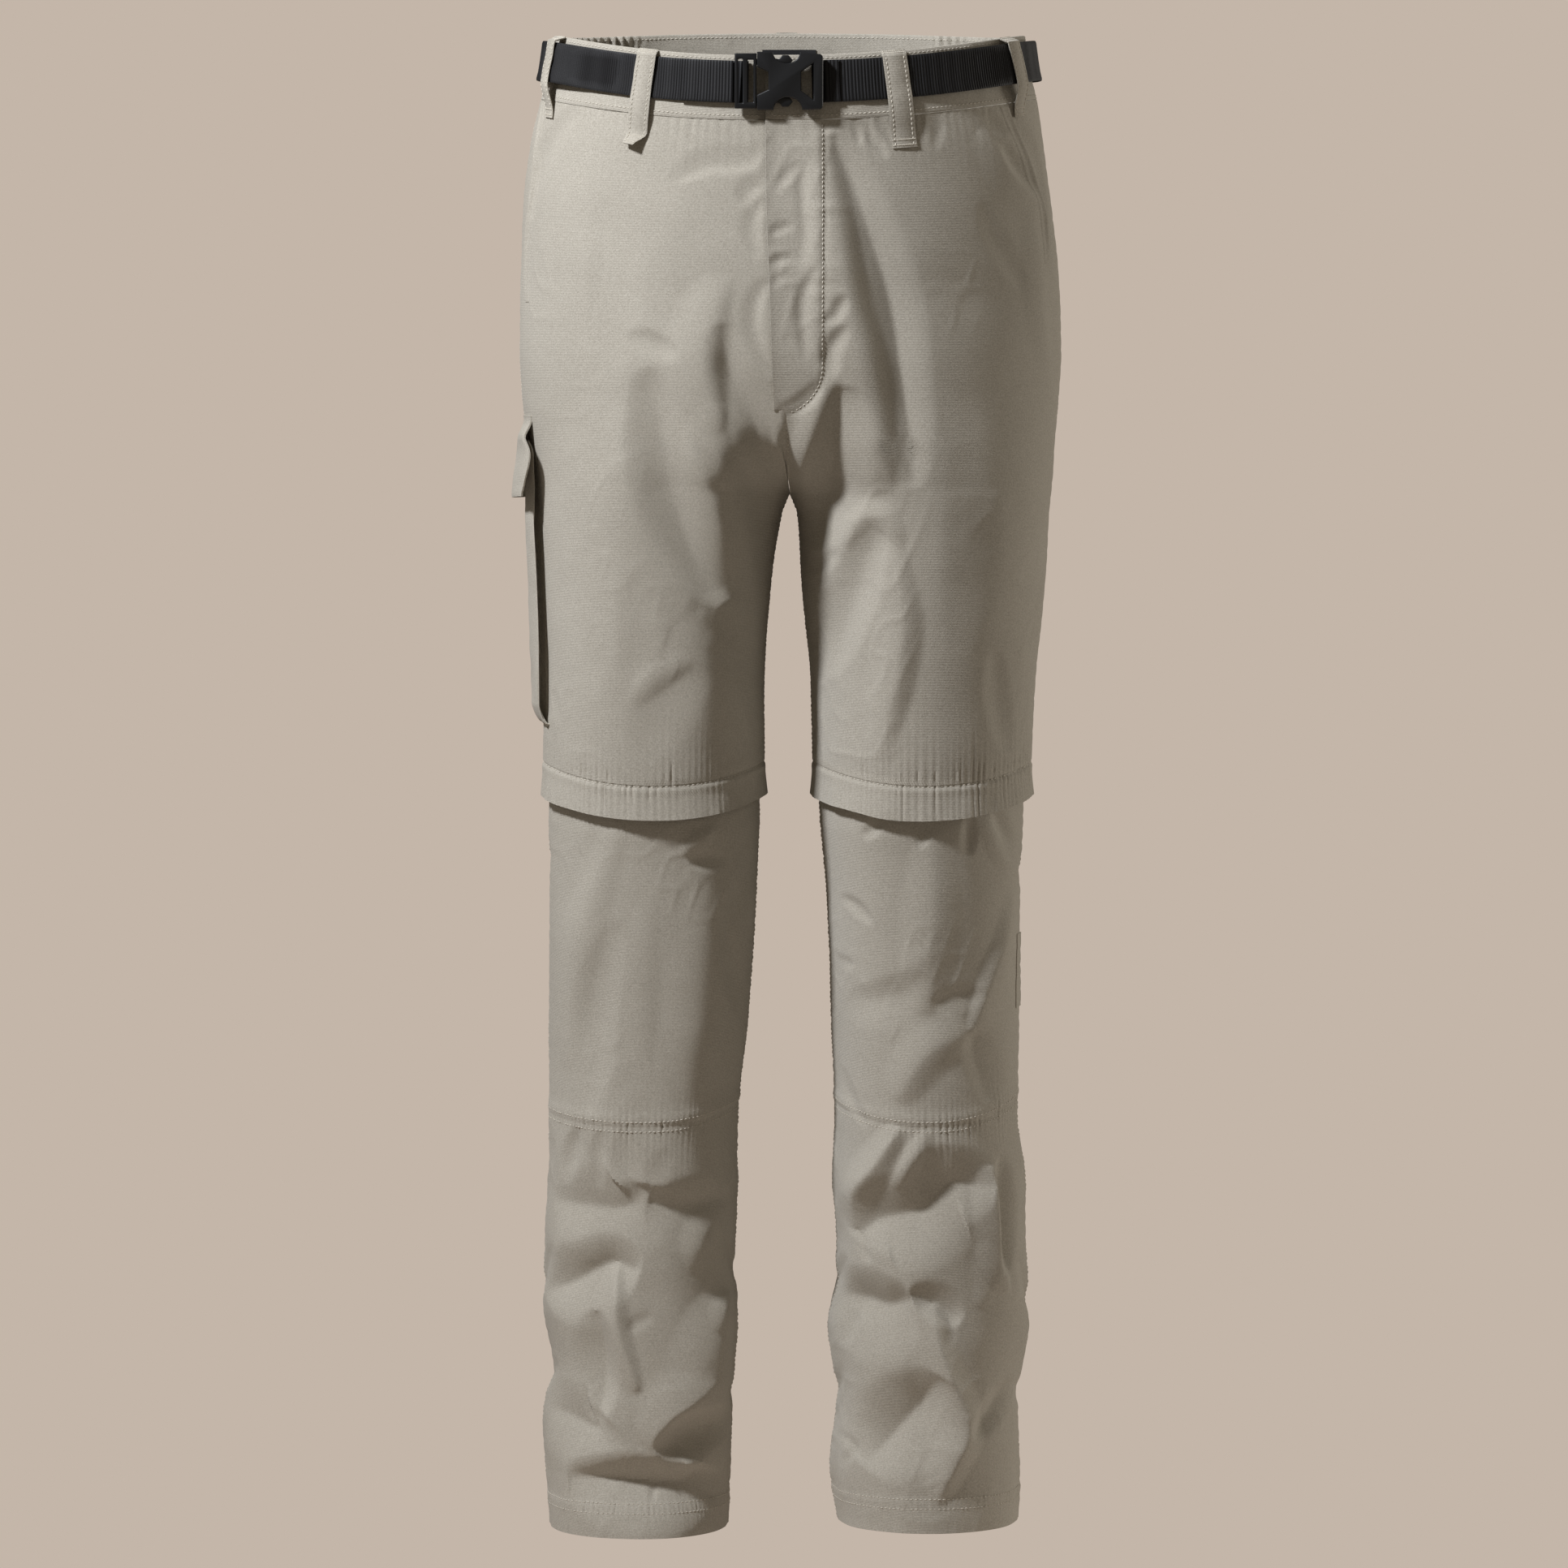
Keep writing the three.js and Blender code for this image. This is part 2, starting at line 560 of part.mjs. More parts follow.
function addWaistband() {
  const halfGap = seamGap / 2 / halfPerimeter;
  for (const length of bandLengths) {
    const depth = length.waves ? gatherDepth / 2 : 0;
    const wave = (u) => depth * (Math.cos(2 * Math.PI * length.waves * u) - 1);
    const surface = (u, v) => {
      const turn = length.from - halfGap + (length.to - length.from + 2 * halfGap) * u;
      return aroundWaist(THREE.MathUtils.clamp(turn, -1 + halfGap, 1 - halfGap), v);
    };
    const outer = (u) => bandStandOut + wave(u);
    const inner = (u) => bandStandOut - doubledWall + wave(u);
    const across = evenly(0, 1, length.columns);
    const down = evenly(bandTop, bandBottom, 2);
    add(length.name, wall({ surface, across, down, inner, outer, facing: 1 }), clothMaterial);
  }
}

// The belt lies on the band at the front and stands off it a little at the sides.
const beltInner = bandStandOut + layerGap + 0.6;

function beltStandOff(turn) {
  const fromSide = Math.abs(Math.abs(turn) - 0.55) / 0.3;
  return beltInner + beltBow * Math.max(0, 1 - fromSide ** 2) ** 2;
}

function frontTurn(x, z) {
  const leg = x >= between(middleRows, z, "front") ? "left" : "right";
  const station = stationAt(leg, z, x);
  return leg === "left" ? 1 - station : station - 1;
}

function addWebbing(name, fromTurn, toTurn, columns, layer) {
  const surface = (u, v) => aroundWaist(fromTurn + (toTurn - fromTurn) * u, v);
  const turnAt = (u) => fromTurn + (toTurn - fromTurn) * u;
  const inner = (u) => beltStandOff(turnAt(u)) + layer * (webbingThick + layerGap);
  const outer = (u) => inner(u) + webbingThick;
  const down = evenly(beltMiddle + webbingWidth / 2, beltMiddle - webbingWidth / 2, 2);
  add(name, wall({ surface, across: evenly(0, 1, columns), down, inner, outer, facing: 1 }), webbingMaterial);
}

const buckleMiddleX = -6;
const buckleSocketEnd = 31.9;
const buckleLadderEnd = -30.7;

function addBelt() {
  const leftEnd = frontTurn(buckleMiddleX + buckleSocketEnd - 8, beltMiddle);
  const rightEnd = frontTurn(buckleMiddleX + buckleLadderEnd + 10, beltMiddle);
  addWebbing("belt_strap", leftEnd, rightEnd, 56, 0);
  const foldStart = frontTurn(buckleMiddleX + buckleSocketEnd + 0.8, beltMiddle);
  const foldEnd = frontTurn(37, beltMiddle);
  addWebbing("belt_fold", foldStart, foldEnd, 2, 1);
  const tailStart = frontTurn(buckleMiddleX + buckleLadderEnd - 0.8, beltMiddle);
  const tailEnd = frontTurn(-73.5, beltMiddle);
  addWebbing("belt_tail", tailEnd, tailStart, 4, 1);
}

// Each loop's strip, by where its middle meets the band's top and the cloth below.
const frontLoops = [
  { name: "loop_front_right", leg: "right", topX: -97, bottomX: -107, bottom: -44 },
  { name: "loop_front_left", leg: "left", topX: 75, bottomX: 84, bottom: -46 },
  { name: "loop_side_right", leg: "right", topX: -159.5, bottomX: -170, bottom: -34 },
  { name: "loop_side_left", leg: "left", topX: 155, bottomX: 167, bottom: -33 },
];

// How far a loop stands off the cloth on its way over the belt.
function loopStandOff(turn, z, bottom) {
  const overBelt = beltStandOff(turn) + webbingThick + layerGap;
  const onBand = bandStandOut + layerGap;
  const down = smooth(bottom + 4, beltMiddle - webbingWidth / 2 - 1, z);
  const up = smooth(bandTop, beltMiddle + webbingWidth / 2 + 0.8, z);
  const onCloth = THREE.MathUtils.lerp(layerGap, onBand, smooth(bandBottom - 12, bandBottom - 2, z));
  return THREE.MathUtils.lerp(onCloth, overBelt, Math.min(down, up));
}

function addLoops() {
  for (const loop of frontLoops) {
    const middle = (z) => {
      const q = (bandTop - z) / (bandTop - loop.bottom);
      return stationAt(loop.leg, z, loop.topX + (loop.bottomX - loop.topX) * q);
    };
    const half = loopWidth / 2 / halfPerimeter;
    const surface = (u, v) => formPoint(loop.leg, middle(v) + half * (2 * u - 1), v);
    const turn = (v) => 1 - middle(v);
    const inner = (u, v) => loopStandOff(turn(v), v, loop.bottom);
    const outer = (u, v) => inner(u, v) + loopThick;
    addLoopWall(loop.name, surface, inner, outer, loop.bottom, sideOf[loop.leg]);
  }
  const backHalf = loopWidth / 2 / halfPerimeter;
  const backBottom = -34;
  const surface = (u, v) => aroundWaist(backHalf * (2 * u - 1), v);
  const inner = (u, v) => loopStandOff(0, v, backBottom);
  const outer = (u, v) => inner(u, v) + loopThick;
  addLoopWall("loop_back", surface, inner, outer, backBottom, -1);
}

function addLoopWall(name, surface, inner, outer, bottom, facing) {
  const beltTop = beltMiddle + webbingWidth / 2;
  const beltBottom = beltMiddle - webbingWidth / 2;
  const overBelt = [bandTop - 0.2, beltTop + 2, beltTop + 0.8, beltMiddle, beltBottom - 1];
  const below = evenly(beltBottom - 6, bottom, 5);
  const down = [...overBelt, ...below];
  add(name, wall({ surface, across: evenly(0, 1, 2), down, inner, outer, facing }), clothMaterial);
}

// A flat piece cut from an outline in the X-Z plane, with its back at a given y and its thickness towards -Y.
function plate(outline, back, thick, bevel = 0) {
  const geometry = new THREE.ExtrudeGeometry(outline, {
    depth: thick - 2 * bevel,
    bevelEnabled: bevel > 0,
    bevelThickness: bevel,
    bevelSize: bevel,
    bevelOffset: -bevel,
    bevelSegments: 1,
    curveSegments: 8,
  });
  geometry.rotateX(Math.PI / 2);
  geometry.translate(0, back - bevel, 0);
  return geometry;
}

function rectangle(left, right, bottom, top) {
  const points = [[left, bottom], [right, bottom], [right, top], [left, top]];
  return new THREE.Shape(points.map(([x, z]) => new THREE.Vector2(x, z)));
}

function hole(points) {
  return new THREE.Path(points.map(([x, z]) => new THREE.Vector2(x, z)));
}

// The socket: four arms round a hub, arched gaps above and below for the prongs' buttons, and the
// bar for the strap.
function socketOutline() {
  const half = buckleHeight / 2;
  const joint = -14.8;
  const outline = new THREE.Shape();
  outline.moveTo(joint, 10);
  outline.lineTo(joint, half);
  outline.absellipse(6, half, 9.5, 8.2, Math.PI, 2 * Math.PI, false, 0);
  outline.lineTo(29.4, half - 1.6);
  outline.quadraticCurveTo(buckleSocketEnd, half - 2, buckleSocketEnd, half - 5);
  outline.lineTo(buckleSocketEnd, 5 - half);
  outline.quadraticCurveTo(buckleSocketEnd, 0.6 - half, 29.4, 0.4 - half);
  outline.absellipse(7, -half, 10.2, 9, 0, Math.PI, false, 0);
  outline.lineTo(joint, -half);
  outline.lineTo(joint, -10);
  outline.lineTo(-6.8, -6.2);
  outline.lineTo(-6.8, 6.2);
  outline.closePath();
  outline.holes.push(hole([[16.5, -7], [25.2, -13.5], [25.2, 12.5], [16.5, 6.5]]));
  return outline;
}

// The ladder frame: two slots beside a middle bar, and two prongs that reach into the socket with a
// button each.
function ladderOutline() {
  const half = buckleHeight / 2 - 1;
  const frame = rectangle(buckleLadderEnd, -15.1, -half, half);
  frame.holes.push(hole([[-28.3, -15.6], [-28.3, 15.6], [-25, 15.6], [-25, -15.6]]));
  frame.holes.push(hole([[-21.4, -15], [-21.4, 15], [-17.4, 15], [-17.4, -15]]));
  return frame;
}

const prongNear = 11.4;
const prongFar = 15.6;
const prongThick = 2.6;
const prongClearance = 0.35;

function prongOutline(sign) {
  const prong = new THREE.Shape();
  prong.moveTo(-16, sign * prongNear);
  prong.lineTo(8.5, sign * (prongNear + 0.4));
  prong.lineTo(10.5, sign * (prongFar - 1));
  prong.lineTo(7.5, sign * (prongFar + 2.6));
  prong.lineTo(3, sign * (prongFar + 2.6));
  prong.lineTo(1, sign * prongFar);
  prong.lineTo(-16, sign * prongFar);
  prong.closePath();
  return prong;
}

function addBuckle() {
  const bandFront = aroundWaist(0.999, beltMiddle - webbingWidth / 2).y;
  const bodyBack = bandFront - beltInner - webbingThick - layerGap;
  const prongBack = bodyBack - (buckleThick - prongThick) / 2;
  const place = new THREE.Matrix4().makeTranslation(buckleMiddleX, 0, beltMiddle - waistDropFront + 0.8);
  const slots = [1, -1].map((sign) => {
    const low = sign > 0 ? prongNear - prongClearance : -prongFar - prongClearance;
    const high = sign > 0 ? prongFar + prongClearance : prongClearance - prongNear;
    const slot = rectangle(-17, 14, low, high);
    return solidFrom(plate(slot, prongBack + prongClearance, prongThick + 2 * prongClearance));
  });
  let socket = solidFrom(plate(socketOutline(), bodyBack, buckleThick, 0.6));
  for (const slot of slots) socket = socket.subtract(slot);
  let ladder = solidFrom(plate(ladderOutline(), bodyBack, buckleThick - 0.6, 0.5));
  for (const sign of [1, -1]) {
    ladder = ladder.add(solidFrom(plate(prongOutline(sign), prongBack, prongThick)));
  }
  add("buckle_socket", geometryFrom(socket).applyMatrix4(place), plasticMaterial);
  add("buckle_prongs", geometryFrom(ladder).applyMatrix4(place), plasticMaterial);
}

// The hand pockets' stitched opening edges, slanting from the band to the side seam.
const handPockets = [
  { name: "hand_pocket_right", leg: "right", top: -30, bottom: -165, topX: -176, bottomX: -188 },
  { name: "hand_pocket_left", leg: "left", top: -30, bottom: -140, topX: 158, bottomX: 188 },
];
const pocketEdgeWidth = 9;

function addHandPockets() {
  for (const pocket of handPockets) {
    const surface = (u, v) => {
      const q = (pocket.top - v) / (pocket.top - pocket.bottom);
      const line = pocket.topX + (pocket.bottomX - pocket.topX) * Math.sin((q * Math.PI) / 2);
      const station = stationAt(pocket.leg, v, line);
      return facetPoint(pocket.leg, station - (pocketEdgeWidth * (1 - u)) / halfPerimeter, v);
    };
    const along = upperRows().filter((z) => z < pocket.top && z > pocket.bottom);
    const down = [pocket.top, ...along, pocket.bottom];
    const inner = layerGap + 0.2;
    const outer = inner + appliedThick;
    const facing = sideOf[pocket.leg];
    add(pocket.name, wall({ surface, across: [0, 1], down, inner, outer, facing }), clothMaterial);
  }
}

// The cargo pocket stands off the thigh on folded sides and is open at the top, under its flap.
function pocketStandOff(u, v) {
  const edges = smooth(0, 0.045, u) * smooth(1, 0.955, u);
  const foot = smooth(pocketBottom, pocketBottom + 9, v);
  const belly = 1 + 0.25 * Math.sin(Math.PI * u) * smooth(pocketBottom, pocketTop, v);
  return layerGap + 0.6 + pocketDepth * edges * foot * belly;
}

function addCargoPocket() {
  const facing = sideOf.right;
  const flat = (u, v) => formPoint("right", pocketFront + (pocketBack - pocketFront) * u, v);
  const standing = (u, v) => {
    const normal = normalOf(flat, u, v, facing);
    return flat(u, v).addScaledVector(normal, pocketStandOff(u, v));
  };
  const folded = [0, 0.022, 0.045, 0.07];
  const across = [...folded, ...evenly(0.14, 0.86, 6), ...folded.map((u) => 1 - u).reverse()];
  const foot = [pocketBottom + 14, pocketBottom + 9, pocketBottom + 4.5, pocketBottom];
  const down = [...evenly(pocketTop, pocketBottom + 24, 7), ...foot];
  const pouch = wall({ surface: standing, across, down, inner: 0, outer: 1.2, facing });
  add("cargo_pocket", pouch, clothMaterial);
  addCargoFlap(flat, facing);
}

// The flap is sewn to the thigh above the pocket and hangs over the pocket's mouth.
function addCargoFlap(flat, facing) {
  const flapTop = -250;
  const flapBottom = -307;
  const wide = (u) => -0.03 + 1.06 * u;
  const standOff = (u, v) => {
    const hang = smooth(flapTop - 2, pocketTop + 2, v);
    const spread = THREE.MathUtils.mapLinear(v, flapTop, flapBottom, 0, 3);
    return layerGap + hang * (pocketDepth * 1.25 + 1.6) + Math.max(0, spread);
  };
  const surface = (u, v) => {
    const point = flat(wide(u), v);
    return point.addScaledVector(normalOf(flat, wide(u), v, facing), standOff(u, v));
  };
  const down = [flapTop, flapTop - 5, flapTop - 10, pocketTop + 2, -284, -296, flapBottom];
  const flap = wall({ surface, across: evenly(0, 1, 9), down, inner: 0, outer: 1.4, facing });
  add("cargo_flap", flap, clothMaterial);
}

// A flat tab beside the outer seam of the left lower leg.
function addSideTab() {
  const surface = (u, v) => facetPoint("left", 0.452 + 0.04 * u, v);
  const down = evenly(-626, -680, 3);
  const inner = layerGap;
  const outer = inner + appliedThick;
  const tab = wall({ surface, across: evenly(0, 1, 2), down, inner, outer, facing: 1 });
  add("side_tab", tab, clothMaterial);
}

// A bare label inside the back of the waistband.
function addInsideLabel() {
  const half = 20 / halfPerimeter;
  const surface = (u, v) => aroundWaist(half * (2 * u - 1), v);
  const outer = bandStandOut - doubledWall - layerGap;
  const inner = outer - 1;
  const down = [bandTop - 8, bandTop - 24];
  const label = wall({ surface, across: evenly(0, 1, 3), down, inner, outer, facing: -1 });
  add("inside_label", label, labelMaterial);
}

for (const leg of ["right", "left"]) {
  addUpperPanels(leg);
  addZipCover(leg);
  addKneeZip(leg);
  addLowerLeg(leg);
}
addFly();
addWaistband();
addBelt();
addLoops();
addBuckle();
addHandPockets();
addCargoPocket();
addSideTab();
addInsideLabel();

export default trousers;
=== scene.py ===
# Convertible zip-off trousers with a webbing belt, filled out as worn with no wearer.
# Lengths in the tables are millimetres; +Z is up, the front faces -Y, +X is the wearer's left.
import math
import bpy
import numpy as np
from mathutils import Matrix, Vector


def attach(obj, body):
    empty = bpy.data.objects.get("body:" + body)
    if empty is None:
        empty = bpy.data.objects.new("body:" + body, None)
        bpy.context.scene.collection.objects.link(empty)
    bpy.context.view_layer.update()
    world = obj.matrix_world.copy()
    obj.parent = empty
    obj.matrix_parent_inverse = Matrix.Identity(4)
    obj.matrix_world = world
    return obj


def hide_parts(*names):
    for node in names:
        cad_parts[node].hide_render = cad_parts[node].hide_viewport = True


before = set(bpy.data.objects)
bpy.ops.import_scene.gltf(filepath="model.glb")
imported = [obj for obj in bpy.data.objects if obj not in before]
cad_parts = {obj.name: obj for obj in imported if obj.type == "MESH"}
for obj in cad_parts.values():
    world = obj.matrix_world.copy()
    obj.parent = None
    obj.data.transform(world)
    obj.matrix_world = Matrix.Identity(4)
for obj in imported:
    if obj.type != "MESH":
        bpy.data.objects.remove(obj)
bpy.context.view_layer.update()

bpy.ops.object.select_all(action="DESELECT")
scene = bpy.context.scene
print("stage: solids loaded,", len(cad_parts), "nodes")

# Camera
photoView = {
    "eye": (0.0, -5.5, -0.2),  # metres: standing back, a hand below the belt
    "aim": (-0.0018, 0.0, -0.5184),
    "lens": 173.7,
}


def aimed(location, target):
    return (Vector(target) - Vector(location)).to_track_quat("-Z", "Y").to_euler()


bpy.ops.object.camera_add(location=photoView["eye"], rotation=aimed(photoView["eye"], photoView["aim"]))
scene.camera = bpy.context.object
scene.camera.data.lens = photoView["lens"]

# The body of the garment
body = {
    "bandTop": 24, "bandBottom": -22, "crotch": -308,
    "knee": -500, "lowerTop": -504, "crossSeam": -762,
    "hem": {"right": -1060, "left": -1056},
    "waistDropFront": 18, "waistRiseBack": 7, "waistLevel": -200,
    "kneeDip": 14, "kneeDipReach": 85,
    "roundLeg": 940,  # once round a leg, as the spacings of the puckers count it
    "thighShare": 0.66,  # of that, the real way round a thigh
    "halfWaist": 470,  # from the back middle round to the front middle
    "ovalPower": 2.2,
    "seatShift": (-262, -304),  # close above the crotch only the cloth by the seam moves over
    "clothThick": 0.9, "bandThick": 2.2, "bandStandOut": 0.8,
    "lowerInset": 2.0, "insetRows": (-548, -516),  # the lower leg goes in behind the knee cover
    "crossRise": {"right": (12, 5), "left": (12, 16)},  # of the cross seam, at the inner and outer leg
    "slitTall": 44, "slitGap": {"right": 1.0, "left": 5.0},
}
thighRound = body["roundLeg"] * body["thighShare"]
sideOf = {"right": -1, "left": 1}

# Sections of each leg: height, outer side, inner side, front, back
sections = {
    "right": np.array([
        (40, 167, -167, -116, 118), (0, 171, -171, -118, 122), (-24, 178, -176, -120, 127),
        (-54, 185, -182, -123, 133), (-100, 191, -186, -127, 143), (-150, 193, -184, -129, 150),
        (-200, 194, -150, -128, 151), (-240, 192, -102, -124, 147), (-270, 187, -55, -121, 141),
        (-290, 184, -22, -118, 137), (-302, 182.5, -5.5, -116, 135), (-308, 182, -1.8, -115.5, 134),
        (-324, 181, 4, -114, 131), (-380, 178, 12, -108, 118), (-450, 176.5, 16, -100, 104),
        (-500, 177, 16, -95, 95), (-541, 173, 19.5, -89, 86), (-600, 172.5, 22, -84, 84),
        (-680, 173.5, 27, -78, 88), (-762, 174, 35, -74, 92), (-800, 173, 36.5, -74, 93),
        (-850, 177, 37, -73, 94), (-890, 179, 36, -73, 93), (-940, 171, 38, -72, 92),
        (-985, 178.5, 40, -74, 92), (-1020, 176, 41.5, -76, 92), (-1064, 172, 44, -78, 91),
    ], float),
    "left": np.array([
        (40, 171, -171, -116, 118), (0, 175, -175, -118, 122), (-24, 181, -178, -120, 127),
        (-54, 186, -182, -123, 133), (-100, 192, -184, -127, 143), (-150, 197, -184, -129, 150),
        (-200, 199, -149, -128, 151), (-240, 197.5, -101, -124, 147), (-270, 195, -54, -121, 141),
        (-290, 194, -21, -118, 137), (-302, 193, -3.5, -116, 135), (-308, 192.5, 2.2, -115.5, 134),
        (-324, 191, 8, -114, 131), (-380, 186.5, 12.5, -108, 118), (-450, 180, 18.5, -100, 104),
        (-500, 178, 19, -95, 95), (-541, 172.5, 24, -89, 86), (-600, 170, 29.5, -84, 84),
        (-680, 169, 33, -78, 88), (-762, 169, 35, -74, 92), (-800, 174, 33.7, -74, 93),
        (-850, 175.5, 36, -73, 94), (-890, 177.5, 34, -73, 93), (-911, 177, 31, -72.5, 92),
        (-970, 169, 37, -73, 92), (-1014, 170, 32.5, -75, 92), (-1062, 168, 39, -78, 91),
    ], float),
}

# The middle seam: height, the fly's leading edge, the seat seam
middleRows = np.array([
    (40, -15, 0), (-60, -14.5, 0), (-180, -11, 0), (-246, -7.5, 0), (-290, 0.5, 1), (-308, 2, 2),
], float)

